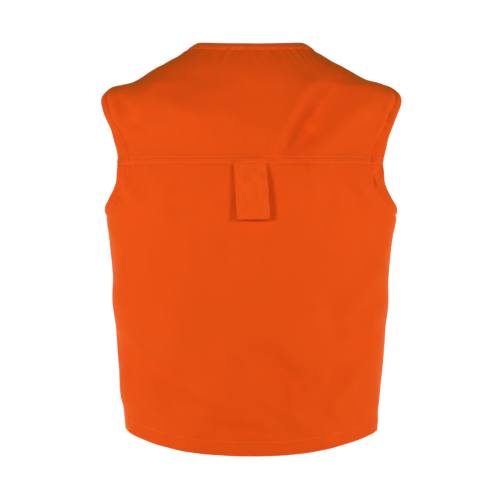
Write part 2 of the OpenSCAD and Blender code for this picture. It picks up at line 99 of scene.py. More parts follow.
class VestShell(bpy.types.PropertyGroup):
    """Sizes of the vest's cloth and sewing"""

    cloth: bpy.props.FloatProperty(
        name="Cloth", description="Thickness of one layer of cloth", default=0.0006,
        min=0.0002, max=0.002, subtype="DISTANCE", unit="LENGTH")
    outside: bpy.props.FloatProperty(
        name="Outside", description="How far the shell's outer face stands off the wearer's side",
        default=0.0016, min=0.001, max=0.003, subtype="DISTANCE", unit="LENGTH")
    grid: bpy.props.FloatProperty(
        name="Grid", description="Spacing of the cloth meshes", default=0.0022, min=0.001,
        max=0.01, subtype="DISTANCE", unit="LENGTH")
    stitch: bpy.props.FloatProperty(
        name="Stitch", description="Distance from one stitch to the next", default=0.0031,
        min=0.001, max=0.006, subtype="DISTANCE", unit="LENGTH")
    thread: bpy.props.FloatProperty(
        name="Thread", description="Radius of the sewing thread", default=0.00032, min=0.0001,
        max=0.001, subtype="DISTANCE", unit="LENGTH")
    hem: bpy.props.FloatProperty(
        name="Hem", description="Width of the turned-up hem", default=0.021, min=0.01, max=0.04,
        subtype="DISTANCE", unit="LENGTH")
    armhole_band: bpy.props.FloatProperty(
        name="Armhole band", description="Width of the band round each armhole", default=0.0185,
        min=0.008, max=0.03, subtype="DISTANCE", unit="LENGTH")
    fold: bpy.props.FloatProperty(
        name="Folds", description="Strength of the soft folds in the cloth", default=2.0, min=0.0,
        max=4.0, subtype="FACTOR")


class VestLook(bpy.types.PropertyGroup):
    """Colours of the vest"""

    shell: bpy.props.FloatVectorProperty(
        name="Shell", description="Colour of the shell's cloth", default=(0.84, 0.080, 0.005),
        size=3, min=0.0, max=1.0, subtype="COLOR")
    trim: bpy.props.FloatVectorProperty(
        name="Trim", description="Colour of the bands and the loops", default=(0.88, 0.092, 0.006),
        size=3, min=0.0, max=1.0, subtype="COLOR")
    thread: bpy.props.FloatVectorProperty(
        name="Thread", description="Colour of the sewing thread", default=(0.93, 0.165, 0.02),
        size=3, min=0.0, max=1.0, subtype="COLOR")
    sheen: bpy.props.FloatVectorProperty(
        name="Sheen", description="Colour of the cloth's sheen at grazing angles",
        default=(1.0, 0.58, 0.03), size=3, min=0.0, max=1.0, subtype="COLOR")
    plastic: bpy.props.FloatVectorProperty(
        name="Plastic", description="Colour of the zip's moulded parts",
        default=(0.62, 0.065, 0.012), size=3, min=0.0, max=1.0, subtype="COLOR")
    metal: bpy.props.FloatVectorProperty(
        name="Metal", description="Colour of the slider and the snaps",
        default=(0.33, 0.31, 0.29), size=3, min=0.0, max=1.0, subtype="COLOR")
    label: bpy.props.FloatVectorProperty(
        name="Label", description="Colour of the blank label", default=(0.86, 0.85, 0.81),
        size=3, min=0.0, max=1.0, subtype="COLOR")


# ---- shape of the shell

def mix(a, b, t):
    return a + (b - a) * t


def smooth(t):
    t = np.clip(t, 0.0, 1.0)
    return t * t * (3 - 2 * t)


def through(knots, z):
    """Smooth curve through [height, value] knots, with central slopes."""
    z = np.asarray(z, float)
    last = len(knots) - 1
    i = np.clip(np.searchsorted(knots[:, 0], z, side="right") - 1, 0, last - 1)
    lo = np.maximum(np.arange(last + 1) - 1, 0)
    hi = np.minimum(np.arange(last + 1) + 1, last)
    slope = (knots[hi, 1] - knots[lo, 1]) / (knots[hi, 0] - knots[lo, 0])
    h = knots[i + 1, 0] - knots[i, 0]
    t = (z - knots[i, 0]) / h
    return ((2 * t**3 - 3 * t**2 + 1) * knots[i, 1] + (t**3 - 2 * t**2 + t) * slope[i] * h
            + (3 * t**2 - 2 * t**3) * knots[i + 1, 1] + (t**3 - t**2) * slope[i + 1] * h)


def half_w(z):
    return through(WIDTH, z)


def depth(z, side):
    return through(BACK_DEPTH if side == BACK else FRONT_DEPTH, z)


def square(side):
    return BACK_SQUARE if side == BACK else FRONT_SQUARE


def body(a, z, side):
    """Point on the shell's inner face; a is 0 at the left side seam and 180 at the right one."""
    e = 2 / square(side)
    a = np.radians(a)
    c = np.cos(a)
    x = np.sign(c) * half_w(z) * np.abs(c) ** e
    y = side * depth(z, side) * np.maximum(np.sin(a), 0) ** e
    return np.stack(np.broadcast_arrays(x, y, z), -1).astype(float)


def outward(a, z, side):
    """The shell's outward direction at the same place."""
    across = body(np.minimum(a + 1.5, 180), z, side) - body(np.maximum(a - 1.5, 0), z, side)
    up = body(a, z + 1, side) - body(a, z - 1, side)
    n = np.cross(across, up) * side
    return n / np.linalg.norm(n, axis=-1, keepdims=True)


def angle_at_x(x, z, side):
    """Angle of a point x to the left of the middle."""
    return np.degrees(np.arccos(np.minimum(1, (x / half_w(z)) ** (square(side) / 2))))


def angle_across(x, z, side):
    """The same for points on either side of the middle."""
    a = angle_at_x(np.abs(x), z, side)
    return np.where(x < 0, 180 - a, a)


def angle_at_y(y, z, side):
    return np.degrees(np.arcsin(np.minimum(1, (y / depth(z, side)) ** (square(side) / 2))))


ARM_MID = (ARMPIT_H + TIP_H) / 2
ARM_HALF = (TIP_H - ARMPIT_H) / 2


def edge_y(z, side):
    """Distance of the armhole's edge from the side seam."""
    u = (z - ARM_MID) / ARM_HALF
    return ARMHOLE_W[side] * (1 - ARMHOLE_SKEW * u) * np.sqrt(np.maximum(0, 1 - u * u))


def edge_angle(z, side):
    return angle_at_y(edge_y(z, side), z, side)


def arm_distance(y, z, side):
    """Distance from the armhole's edge, across the cloth."""
    def level(y, z):
        u = (z - ARM_MID) / ARM_HALF
        v = np.abs(y) / (ARMHOLE_W[side] * (1 - ARMHOLE_SKEW * np.clip(u, -1.3, 1.3)))
        return np.sqrt(u * u + v * v)
    f = level(y, z)
    slope = np.hypot(level(y + 0.5, z) - level(y - 0.5, z), level(y, z + 0.5) - level(y, z - 0.5))
    return (f - 1) / np.maximum(slope, 1e-4)


def hem_z(a, side):
    c2 = np.cos(np.radians(a)) ** 2
    return HEM_RISE * c2 if side == BACK else mix(FRONT_HEM_LIFT, HEM_RISE, c2)


def neck_z(a):
    return SHOULDER_H - 6 * np.sin(np.radians(a)) ** 2


def row_z(z, a, side):
    """Rows near the hem follow it."""
    return np.where(z >= HEM_ZONE, z, mix(hem_z(a, side), HEM_ZONE, z / HEM_ZONE))


def vee_x(z):
    t = np.maximum(0, (z - VEE_H) / (SHOULDER_H - VEE_H))
    return mix(PANEL_EDGE, NECK_HALF, t**0.85)


def vee_band(z):
    return NECK_BAND * 1.2 * np.clip((z - VEE_H) / VEE_FADE, 0, 1)


def even_angles(z, side, start, end, count):
    """Angles evenly spaced along the cloth at each height, and their distance from the start."""
    t = (1 - np.cos(np.linspace(0, np.pi, 260))) / 2
    a = mix(start[:, None], end[:, None], t[None, :])
    p = body(a, z[:, None] + 0 * a, side)
    steps = np.linalg.norm(np.diff(p[..., :2], axis=1), axis=-1)
    run = np.concatenate([np.zeros((len(z), 1)), np.cumsum(steps, 1)], 1)
    angles = np.empty((len(z), count))
    along = np.empty((len(z), count))
    for i in range(len(z)):
        along[i] = np.linspace(0, run[i, -1], count)
        angles[i] = np.interp(along[i], run[i], a[i])
    return angles, along


def level_angles(z, side, start, end, count):
    """The same at one height."""
    angles, along = even_angles(np.array([z]), side, np.array([start]), np.array([end]), count)
    return angles[0], along[0]


# ---- folds and puckers, in millimetres off the shell

def waves(x, z, seed, length, count=7):
    """Smooth irregular swell about 1 high, with waves of about this length."""
    r = np.random.RandomState(seed)
    total = 0
    for _ in range(count):
        turn, phase = r.uniform(0, math.pi), r.uniform(0, 2 * math.pi)
        k = 2 * math.pi / (length * r.uniform(0.7, 1.5))
        total = total + np.sin(k * (x * math.cos(turn) + z * math.sin(turn)) + phase)
    return total / math.sqrt(count)


def ripple(u, seed, length):
    """The same along one line."""
    r = np.random.RandomState(seed)
    total = 0
    for _ in range(5):
        k = 2 * math.pi / (length * r.uniform(0.75, 1.6))
        total = total + np.sin(k * u + r.uniform(0, 2 * math.pi))
    return total / math.sqrt(5)


def fold(x, z, start, end, high, near, far):
    """Long fold between two points, `near` wide on its left and `far` wide on its right."""
    (x0, z0), (x1, z1) = start, end
    length = math.hypot(x1 - x0, z1 - z0)
    ux, uz = (x1 - x0) / length, (z1 - z0) / length
    along = ((x - x0) * ux + (z - z0) * uz) / length
    off = -(x - x0) * uz + (z - z0) * ux
    wide = np.where(off > 0, near, far)
    return high * np.exp(-((off / wide) ** 2)) * np.exp(-((1.9 * (along - 0.5)) ** 4))


# start, end, height and the two widths, on the back: x is to the wearer's left
BACK_FOLDS = [
    # the long fold from the wearer's right shoulder towards the middle of the yoke
    ((-150, 594), (-66, 480), -8.0, 17, 32), ((-98, 500), (-50, 462), -3.0, 7, 12),
    ((-94, 580), (-38, 462), 4.2, 15, 14), ((-185, 545), (-95, 468), 2.4, 16, 18),
    ((-84, 500), (-60, 456), 1.2, 6, 5), ((-50, 490), (-30, 456), -1.3, 4.5, 6),
    ((-38, 492), (-20, 460), 0.9, 6, 5), ((1, 500), (6, 456), -0.8, 4, 6),
    ((9, 498), (12, 456), 0.7, 5, 5),
    # dimples under the wearer's left shoulder
    ((168, 590), (205, 545), -2.6, 12, 12), ((140, 575), (165, 520), -2.2, 18, 16),
    ((196, 540), (176, 505), -2.2, 11, 12), ((155, 562), (185, 520), 1.6, 9, 9),
    ((120, 545), (60, 500), 1.8, 30, 34), ((30, 560), (-20, 520), -1.6, 26, 30),
    # ridges and creases beside the armholes
    ((214, 556), (186, 452), 2.6, 7, 5), ((200, 512), (188, 450), -2.2, 4.5, 5),
    ((-214, 556), (-186, 452), 2.2, 5, 7), ((-200, 500), (-184, 448), -2.2, 5, 4.5),
    # below the yoke seam
    ((206, 446), (178, 392), 2.6, 9, 10), ((190, 446), (212, 385), -2.4, 8, 10),
    ((-150, 440), (-214, 372), 2.6, 14, 17), ((-120, 440), (-172, 380), -3.2, 18, 12),
    ((100, 440), (120, 385), -1.6, 16, 16), ((-90, 440), (-105, 390), 1.4, 14, 14),
    # the lower body
    ((-195, 290), (-150, 212), 2.8, 16, 14), ((-204, 232), (-148, 168), 2.6, 14, 14),
    ((-180, 190), (-128, 110), -4.0, 17, 17), ((-165, 125), (-120, 66), 2.8, 14, 16),
    ((190, 235), (176, 168), 2.6, 14, 14), ((197, 156), (70, 76), -6.2, 28, 22),
    ((-10, 166), (-80, 100), -4.8, 22, 18), ((-12, 96), (-78, 54), 3.8, 14, 14),
    ((60, 48), (-20, 34), -3.6, 12, 14), ((120, 92), (30, 52), 2.6, 14, 14),
    ((60, 215), (150, 190), 1.6, 18, 20), ((-38, 372), (-30, 250), 2.0, 46, 46),
    ((-110, 240), (-150, 150), -1.8, 26, 26),
]
# on the front, mirrored for the wearer's right
FRONT_FOLDS = [
    ((60, 560), (120, 470), -2.6, 14, 18), ((120, 590), (160, 490), 1.8, 14, 14),
    ((205, 540), (185, 430), 1.6, 8, 7), ((200, 372), (120, 330), -2.2, 14, 18),
    ((150, 440), (60, 390), 1.6, 18, 16), ((40, 470), (60, 350), -1.2, 14, 14),
    ((190, 300), (172, 190), 1.5, 12, 12), ((186, 150), (150, 60), -1.8, 16, 14),
    ((30, 330), (26, 210), 1.0, 9, 10), ((60, 60), (130, 44), -1.2, 12, 12),
]


def sewn(distance, deep=0.7, wide=1.2):
    """Groove that a row of stitches draws into the cloth."""
    return -deep * np.exp(-((distance / wide) ** 2))


def pucker(distance, u, seed, high, reach, length):
    """Small ripples that run out from a row of stitches."""
    near = np.exp(-np.abs(distance) / reach)
    return high * near * ripple(u, seed, length)


YOKE_EDGE = YOKE_H - 7
NECK_SEAM_Z = SHOULDER_H - 16
YOKE_ROWS = (YOKE_EDGE + 3, YOKE_EDGE + 12)


def relief(p, side):
    """Folds, puckers and grooves of the shell at inner-face points p."""
    vest = bpy.context.scene.vest_shell
    x, y, z = p[..., 0], p[..., 1], p[..., 2]
    u = x - 0.8 * np.abs(y) * np.sign(x)
    total = 0 * x
    if side == BACK:
        for start, end, high, near, far in BACK_FOLDS:
            total = total + fold(x, z, start, end, high, near, far)
        total = total + 1.1 * waves(x, z, 3, 120) + 0.3 * waves(x, z, 4, 42)
        total = total * (1 - 0.85 * smooth((z - 560) / 40))
        seam = z - YOKE_ROWS[0]
        total = total + pucker(seam + 4, u, 11, 0.3, 9, 12) * np.where(z > YOKE_EDGE, 1, 0.8)
        below_neck = NECK_SEAM_Z - z
        below_neck = np.where(below_neck > 0, below_neck, 5 * below_neck)
        total = total + pucker(below_neck, u, 12, 0.45, 12, 17) * smooth((z - 540) / 30)
    else:
        for start, end, high, near, far in FRONT_FOLDS:
            total = total + fold(np.abs(x), z, start, end, high, near, far)
        total = total + 0.8 * waves(x, z, 5, 110) + 0.26 * waves(x, z, 6, 36)
        total = total * smooth((np.abs(x) - 14) / 30)
    total = total * vest.fold
    # the armhole: a padded band, its edge rolled in, and its row of stitches
    arm = arm_distance(y, z, side)
    band = vest.armhole_band / MM
    total = total + 1.5 * np.exp(-(((arm - band * 0.55) / (band * 0.36)) ** 4))
    total = total - 3.2 * np.clip(1 - arm / 10, 0, 1) ** 2
    total = total + sewn(arm - band, 1.7, 2.1) + pucker(arm - band, z + 1.3 * y, 13, 0.4, 8, 11)
    # the hem: a second layer below its row of stitches, and a shallow dip above
    above = z - row_base(p, side) - vest.hem / MM
    total = total + 0.35 * (1 - smooth(above / 1.5)) + sewn(above)
    total = total + pucker(above, u, 14, 0.5, 8, 13)
    total = total - 1.3 * np.exp(-(((above - 9) / 8) ** 2))
    # the side seams hold still, so that the two halves meet
    return total * smooth((np.abs(y) - 1) / 24)


def row_base(p, side):
    """Height of the hem below a point."""
    c = (np.abs(p[..., 0]) / half_w(p[..., 2])) ** (square(side) / 2)
    c2 = np.minimum(1, c) ** 2
    return HEM_RISE * c2 if side == BACK else mix(FRONT_HEM_LIFT, HEM_RISE, c2)


def lay(a, z, side, off):
    """Points on the cloth, `off` outside the shell's inner face, in millimetres."""
    p = body(a, z, side)
    n = outward(a, z, side)
    lift = off + relief(p, side)
    q = p + n * np.asarray(lift)[..., None]
    q[..., 1] = side * np.maximum(side * q[..., 1], 0.0)
    q[..., 2] -= SHOULDER_H
    return q


# ---- meshes

INNER_FACE, RIM = 10.0, 5.0  # third flat value, which tells a sheet's inner face from its outer one


def new_mesh(name, points, faces, material, flat=None):
    """A mesh object from millimetre points; flat holds where each point lies on the flat cloth."""
    mesh = bpy.data.meshes.new(name)
    mesh.from_pydata((np.asarray(points) * MM).tolist(), [], faces.tolist())
    mesh.polygons.foreach_set("use_smooth", np.ones(len(mesh.polygons), bool))
    flat = np.zeros((len(points), 3)) if flat is None else flat
    spot = mesh.attributes.new("flat", "FLOAT_VECTOR", "POINT")
    spot.data.foreach_set("vector", (np.asarray(flat, float) * MM).ravel())
    mesh.materials.append(material)
    mesh.update()
    obj = bpy.data.objects.new(name, mesh)
    bpy.context.scene.collection.objects.link(obj)
    return obj


def rim_indices(rows, cols):
    """Indices round the edge of a grid, in order."""
    top = list(range(cols))
    right = [i * cols + cols - 1 for i in range(1, rows)]
    bottom = [(rows - 1) * cols + j for j in range(cols - 2, -1, -1)]
    left = [i * cols for i in range(rows - 2, 0, -1)]
    return np.array(top + right + bottom + left)


def grid_faces(rows, cols):
    i, j = np.meshgrid(np.arange(rows - 1), np.arange(cols - 1), indexing="ij")
    a = (i * cols + j).ravel()
    return np.stack([a, a + cols, a + cols + 1, a + 1], -1)


def cloth_mesh(name, outer, inner, flat, material):
    """A closed sheet between two grids of points, with rolled edges."""
    rows, cols = outer.shape[:2]
    size = rows * cols
    rim = rim_indices(rows, cols)
    o, n = outer.reshape(-1, 3), inner.reshape(-1, 3)
    r, c = rim // cols, rim % cols
    inside = np.clip(r, 1, rows - 2) * cols + np.clip(c, 1, cols - 2)
    middle = (o[rim] + n[rim]) / 2
    way = middle - (o[inside] + n[inside]) / 2
    way = way / np.maximum(np.linalg.norm(way, axis=1, keepdims=True), 1e-6)
    thick = np.linalg.norm(o[rim] - n[rim], axis=1, keepdims=True)
    ring = middle + way * thick * 0.5
    top = grid_faces(rows, cols)
    faces_out = np.dot(np.cross(o[cols] - o[0], o[1] - o[0]), o[0] - n[0]) > 0
    k = np.arange(len(rim))
    nxt = (k + 1) % len(rim)
    upper = np.stack([rim[k], rim[nxt], 2 * size + nxt, 2 * size + k], -1)
    lower = np.stack([2 * size + k, 2 * size + nxt, size + rim[nxt], size + rim[k]], -1)
    faces = np.concatenate([top, top[:, ::-1] + size, upper, lower])
    if not faces_out:
        faces = faces[:, ::-1]
    f = np.concatenate([flat.reshape(-1, 2), np.zeros((size, 1))], 1)
    return new_mesh(name, np.concatenate([o, n, ring]), faces, material,
                    np.concatenate([f, f + [0, 0, INNER_FACE], f[rim] + [0, 0, RIM]]))


WHOLE_GIRTH, HALF_GIRTH = 480, 215


def shell_piece(name, z, start, end, side, material, thick, mirror=False, off=None, both=False):
    """A piece of the shell between two angles, over rows of heights z."""
    vest = bpy.context.scene.vest_shell
    count = int(round((WHOLE_GIRTH if both else HALF_GIRTH) * MM / vest.grid))
    a, u = even_angles(z, side, start(z), end(z), count)
    if both:
        u = u - u[:, -1:] / 2
    zz = row_z(z[:, None] + 0 * a, a, side)
    if side == BACK:
        zz = np.where(zz > TIP_H, np.minimum(zz, neck_z(a) - NECK_BAND + 4), zz)
    lift = vest.outside / MM if off is None else off(a, zz)
    outer = lay(a, zz, side, lift)
    inner = lay(a, zz, side, lift - thick(a, zz))
    flat = np.stack([u, zz], -1)
    if mirror:
        outer, inner = outer * [-1, 1, 1], inner * [-1, 1, 1]
    return cloth_mesh(name, outer, inner, flat, material)


# ---- sewing

def stitch_row(points, normals, pitch):
    """Rings of points for each stitch along a line: (stitches, rings, sides, 3)."""
    vest = bpy.context.scene.vest_shell
    radius = vest.thread / MM
    step = np.linalg.norm(np.diff(points, axis=0), axis=1)
    run = np.concatenate([[0], np.cumsum(step)])
    first = np.arange(pitch * 0.2, run[-1] - pitch, pitch)
    at = first[:, None] + np.linspace(0, 1, 5)[None, :] * pitch * 0.74

    def sample(values):
        return np.stack([np.interp(at, run, values[:, k]) for k in range(3)], -1)

    p, n = sample(points), sample(normals)
    tangent = np.gradient(p, axis=1)
    tangent /= np.maximum(np.linalg.norm(tangent, axis=-1, keepdims=True), 1e-6)
    across = np.cross(tangent, n)
    across /= np.maximum(np.linalg.norm(across, axis=-1, keepdims=True), 1e-6)
    # both ends of a stitch are thinner and dive into the cloth
    girth = radius * np.array([0.45, 0.95, 1.0, 0.95, 0.45])
    height = radius * np.array([-0.9, 0.35, 0.75, 0.35, -0.9])
    turn = np.linspace(0, 2 * np.pi, 6, endpoint=False)
    ring = across[..., None, :] * np.cos(turn)[:, None] + n[..., None, :] * np.sin(turn)[:, None]
    return p[..., None, :] + n[..., None, :] * height[:, None, None] + ring * girth[:, None, None]


def thread_mesh(name, rows, material, mirror=False):
    """All stitches of some rows as one mesh; each row is (points, normals) on the cloth."""
    vest = bpy.context.scene.vest_shell
    rings = [stitch_row(p, n, vest.stitch / MM) for p, n in rows]
    rings = np.concatenate([r for r in rings if len(r)])
    count, along, sides = rings.shape[:3]
    points = rings.reshape(-1, 3)
    base = np.arange(count)[:, None, None] * along * sides
    i = np.arange(along - 1)[None, :, None] * sides
    k = np.arange(sides)[None, None, :]
    k2 = (k + 1) % sides
    quads = np.stack([base + i + k, base + i + k2, base + i + sides + k2, base + i + sides + k], -1)
    quads = quads.reshape(-1, 4)
    ends = []  # two quads close each end's ring of six points
    for ring_at in (0, (along - 1) * sides):
        b = (np.arange(count) * along * sides + ring_at)[:, None]
        for four in ((0, 1, 2, 3), (0, 3, 4, 5)):
            ends.append(b + np.array(four)[None, :])
    faces = np.concatenate([quads] + ends)
    if mirror:
        points = points * [-1, 1, 1]
    return new_mesh(name, points, faces, material, points)


# ---- finishes

def group_socket(tree, name, way, kind, value=None):
    socket = tree.interface.new_socket(name=name, in_out=way, socket_type=kind)
    if value is not None:
        socket.default_value = value
    return socket


def node(tree, kind, place, **settings):
    n = tree.nodes.new(kind)
    n.location = (place[0] * 190, -place[1] * 170)
    for key, value in settings.items():
        setattr(n, key, value)
    return n


def math_node(tree, op, place, a, b=None, c=None):
    n = node(tree, "ShaderNodeMath", place, operation=op)
    for i, value in enumerate((a, b, c)):
        if value is None:
            continue
        if isinstance(value, (int, float)):
            n.inputs[i].default_value = value
        else:
            tree.links.new(value, n.inputs[i])
    return n.outputs[0]


def weave_group():
    """Plain weave: crossed threads as a height, with mottled dye as a mask."""
    if "vest_weave" in bpy.data.node_groups:
        return bpy.data.node_groups["vest_weave"]
    tree = bpy.data.node_groups.new("vest_weave", "ShaderNodeTree")
    group_socket(tree, "Vector", "INPUT", "NodeSocketVector")
    group_socket(tree, "Threads per metre", "INPUT", "NodeSocketFloat", 1900.0)
    group_socket(tree, "Patch scale", "INPUT", "NodeSocketFloat", 22.0)
    group_socket(tree, "Height", "OUTPUT", "NodeSocketFloat")
    group_socket(tree, "Slub", "OUTPUT", "NodeSocketFloat")
    group_socket(tree, "Patch", "OUTPUT", "NodeSocketFloat")
    link = tree.links.new
    ins = node(tree, "NodeGroupInput", (0, 0))
    split = node(tree, "ShaderNodeSeparateXYZ", (1, 0))
    link(ins.outputs["Vector"], split.inputs[0])
    count = math_node(tree, "MULTIPLY", (1, 1), ins.outputs["Threads per metre"], math.pi)
    u = math_node(tree, "MULTIPLY", (2, 0), split.outputs[0], count)
    v = math_node(tree, "MULTIPLY", (2, 1), split.outputs[1], count)
    warp = math_node(tree, "ABSOLUTE", (4, 0), math_node(tree, "SINE", (3, 0), u))
    weft = math_node(tree, "ABSOLUTE", (4, 1), math_node(tree, "SINE", (3, 1), v))
    # which thread passes over, square by square
    over = math_node(tree, "MULTIPLY", (5, 0),
                     math_node(tree, "COSINE", (4, 2), math_node(tree, "MULTIPLY", (3, 2), u, 0.5)),
                     math_node(tree, "COSINE", (4, 3), math_node(tree, "MULTIPLY", (3, 3), v, 0.5)))
    lift = math_node(tree, "MULTIPLY_ADD", (6, 0), over, 0.5, 0.5)
    cross = node(tree, "ShaderNodeMix", (7, 0))
    link(lift, cross.inputs["Factor"])
    link(warp, cross.inputs["A"])
    link(weft, cross.inputs["B"])
    slub = node(tree, "ShaderNodeTexNoise", (3, 4), noise_dimensions="3D")
    stretch = node(tree, "ShaderNodeVectorMath", (2, 4), operation="MULTIPLY")
    stretch.inputs[1].default_value = (70.0, 900.0, 1.0)
    link(ins.outputs["Vector"], stretch.inputs[0])
    link(stretch.outputs[0], slub.inputs["Vector"])
    slub.inputs["Scale"].default_value = 1.0
    slub.inputs["Detail"].default_value = 3.0
    patch = node(tree, "ShaderNodeTexNoise", (3, 6), noise_dimensions="3D")
    link(ins.outputs["Vector"], patch.inputs["Vector"])
    link(ins.outputs["Patch scale"], patch.inputs["Scale"])
    patch.inputs["Detail"].default_value = 4.0
    out = node(tree, "NodeGroupOutput", (9, 0))
    link(cross.outputs["Result"], out.inputs["Height"])
    link(slub.outputs["Fac"], out.inputs["Slub"])
    link(patch.outputs["Fac"], out.inputs["Patch"])
    return tree


def grain_group():
    """Fine grain and scuffs for moulded plastic and plated metal."""
    if "vest_grain" in bpy.data.node_groups:
        return bpy.data.node_groups["vest_grain"]
    tree = bpy.data.node_groups.new("vest_grain", "ShaderNodeTree")
    group_socket(tree, "Grain per metre", "INPUT", "NodeSocketFloat", 2600.0)
    group_socket(tree, "Scuffs per metre", "INPUT", "NodeSocketFloat", 240.0)
    group_socket(tree, "Grain", "OUTPUT", "NodeSocketFloat")
    group_socket(tree, "Scuff", "OUTPUT", "NodeSocketFloat")
    link = tree.links.new
    ins = node(tree, "NodeGroupInput", (0, 0))
    spot = node(tree, "ShaderNodeTexCoord", (0, 2))
    out = node(tree, "NodeGroupOutput", (4, 0))
    for name, scale, row in (("Grain", "Grain per metre", 0), ("Scuff", "Scuffs per metre", 2)):
        noise = node(tree, "ShaderNodeTexNoise", (2, row))
        link(spot.outputs["Object"], noise.inputs["Vector"])
        link(ins.outputs[scale], noise.inputs["Scale"])
        noise.inputs["Detail"].default_value = 4.0
        link(noise.outputs["Fac"], out.inputs[name])
    return tree


def tinted(tree, place, colour, mask, dark, light):
    """The colour, from darker to lighter with a mask."""
    ramp = node(tree, "ShaderNodeValToRGB", place)
    ramp.color_ramp.elements[0].position = 0.3
    ramp.color_ramp.elements[1].position = 0.7
    ramp.color_ramp.elements[0].color = (*[c * dark for c in colour], 1)
    ramp.color_ramp.elements[1].color = (*[min(1, c * light) for c in colour], 1)
    tree.links.new(mask, ramp.inputs["Fac"])
    return ramp.outputs["Color"]


def new_material(name):
    """An empty node material and its Principled shader."""
    material = bpy.data.materials.new(name)
    material.use_nodes = True
    tree = material.node_tree
    tree.nodes.clear()
    out = node(tree, "ShaderNodeOutputMaterial", (8, 0))
    shader = node(tree, "ShaderNodeBsdfPrincipled", (6, 0))
    tree.links.new(shader.outputs[0], out.inputs["Surface"])
    return material, tree, shader


def cloth_material(name, colour, threads=1900.0, bump=0.25, rough=0.85, sheen=0.26,
                   dark=0.98, light=1.015, inside=0.82):
    """Woven cloth: thread height, slubs, mottled dye, and a duller inner face."""
    if name in bpy.data.materials:
        return bpy.data.materials[name]
    look = bpy.context.scene.vest_look
    material, tree, shader = new_material(name)
    link = tree.links.new
    flat = node(tree, "ShaderNodeAttribute", (0, 1), attribute_name="flat")
    weave = node(tree, "ShaderNodeGroup", (1, 1), node_tree=weave_group())
    link(flat.outputs["Vector"], weave.inputs["Vector"])
    weave.inputs["Threads per metre"].default_value = threads
    tone = math_node(tree, "MULTIPLY_ADD", (2, 0), weave.outputs["Slub"], 0.35,
                     math_node(tree, "MULTIPLY", (2, 1), weave.outputs["Patch"], 0.65))
    dyed = tinted(tree, (3, 0), colour, tone, dark, light)
    turned = node(tree, "ShaderNodeMix", (4, 0), data_type="RGBA", blend_type="MULTIPLY")
    face = node(tree, "ShaderNodeSeparateXYZ", (2, 3))
    link(flat.outputs["Vector"], face.inputs[0])
    inner_face = math_node(tree, "GREATER_THAN", (3, 3), face.outputs[2], (INNER_FACE + RIM) / 2 * MM)
    link(inner_face, turned.inputs["Factor"])
    link(dyed, turned.inputs["A"])
    turned.inputs["B"].default_value = (inside, inside, inside, 1)
    link(turned.outputs["Result"], shader.inputs["Base Color"])
    rougher = math_node(tree, "MULTIPLY_ADD", (4, 2), weave.outputs["Slub"], 0.14, rough - 0.07)
    link(rougher, shader.inputs["Roughness"])
    shader.inputs["Specular IOR Level"].default_value = 0.05
    shader.inputs["Sheen Weight"].default_value = sheen
    shader.inputs["Sheen Roughness"].default_value = 0.45
    shader.inputs["Sheen Tint"].default_value = (*look.sheen, 1)
    height = math_node(tree, "MULTIPLY_ADD", (4, 4), weave.outputs["Slub"], 0.5,
                       weave.outputs["Height"])
    bumps = node(tree, "ShaderNodeBump", (5, 3))
    bumps.inputs["Strength"].default_value = bump
    bumps.inputs["Distance"].default_value = 0.0003
    link(height, bumps.inputs["Height"])
    link(bumps.outputs["Normal"], shader.inputs["Normal"])
    return material


def hard_material(name, colour, metal, rough, bump, dark=0.85, light=1.08):
    """Moulded plastic or plated metal, with grain, worn patches and a fine bump."""
    if name in bpy.data.materials:
        return bpy.data.materials[name]
    material, tree, shader = new_material(name)
    link = tree.links.new
    grain = node(tree, "ShaderNodeGroup", (1, 1), node_tree=grain_group())
    link(tinted(tree, (3, 0), colour, grain.outputs["Scuff"], dark, light),
         shader.inputs["Base Color"])
    link(math_node(tree, "MULTIPLY_ADD", (3, 2), grain.outputs["Scuff"], 0.2, rough - 0.1),
         shader.inputs["Roughness"])
    shader.inputs["Metallic"].default_value = metal
    bumps = node(tree, "ShaderNodeBump", (5, 3))
    bumps.inputs["Strength"].default_value = bump
    bumps.inputs["Distance"].default_value = 0.0001
    link(grain.outputs["Grain"], bumps.inputs["Height"])
    link(bumps.outputs["Normal"], shader.inputs["Normal"])
    return material


def shell_cloth():
    return cloth_material("vest_shell_cloth", bpy.context.scene.vest_look.shell)


def trim_cloth():
    return cloth_material("vest_trim_cloth", bpy.context.scene.vest_look.trim)


def thread_finish():
    """Twisted polyester thread, a little lighter than the cloth."""
    name = "vest_thread"
    if name in bpy.data.materials:
        return bpy.data.materials[name]
    material, tree, shader = new_material(name)
    flat = node(tree, "ShaderNodeAttribute", (0, 1), attribute_name="flat")
    twist = node(tree, "ShaderNodeTexWave", (1, 1), bands_direction="DIAGONAL")
    tree.links.new(flat.outputs["Vector"], twist.inputs["Vector"])
    twist.inputs["Scale"].default_value = 900.0
    colour = bpy.context.scene.vest_look.thread
    tree.links.new(tinted(tree, (3, 0), colour, twist.outputs["Fac"], 0.85, 1.05),
                   shader.inputs["Base Color"])
    shader.inputs["Roughness"].default_value = 0.55
    shader.inputs["Sheen Weight"].default_value = 0.2
    return material


# ---- pieces


def shell_settings():
    return bpy.context.scene.vest_shell


def outer_off():
    return shell_settings().outside / MM


def edge_thick(side):
    """Thickness of the shell: one layer, and more where an edge is turned in."""
    def thick(a, z):
        one = shell_settings().cloth / MM
        p = body(a, z, side)
        near_arm = 1 - smooth((arm_distance(p[..., 1], z, side) - 8) / 3)
        near_hem = 1 - smooth((z - row_base(p, side) - shell_settings().hem / MM) / 2)
        return one + 0.8 * np.maximum(near_arm, near_hem)
    return thick


def tag_lump(x, z):
    """Where the yoke's edge lies over the sewn end of the tag loop."""
    return 2.1 * np.exp(-(((x - TAG_SHIFT) / 29) ** 8)) * (1 - smooth((z - YOKE_EDGE - 5) / 11))


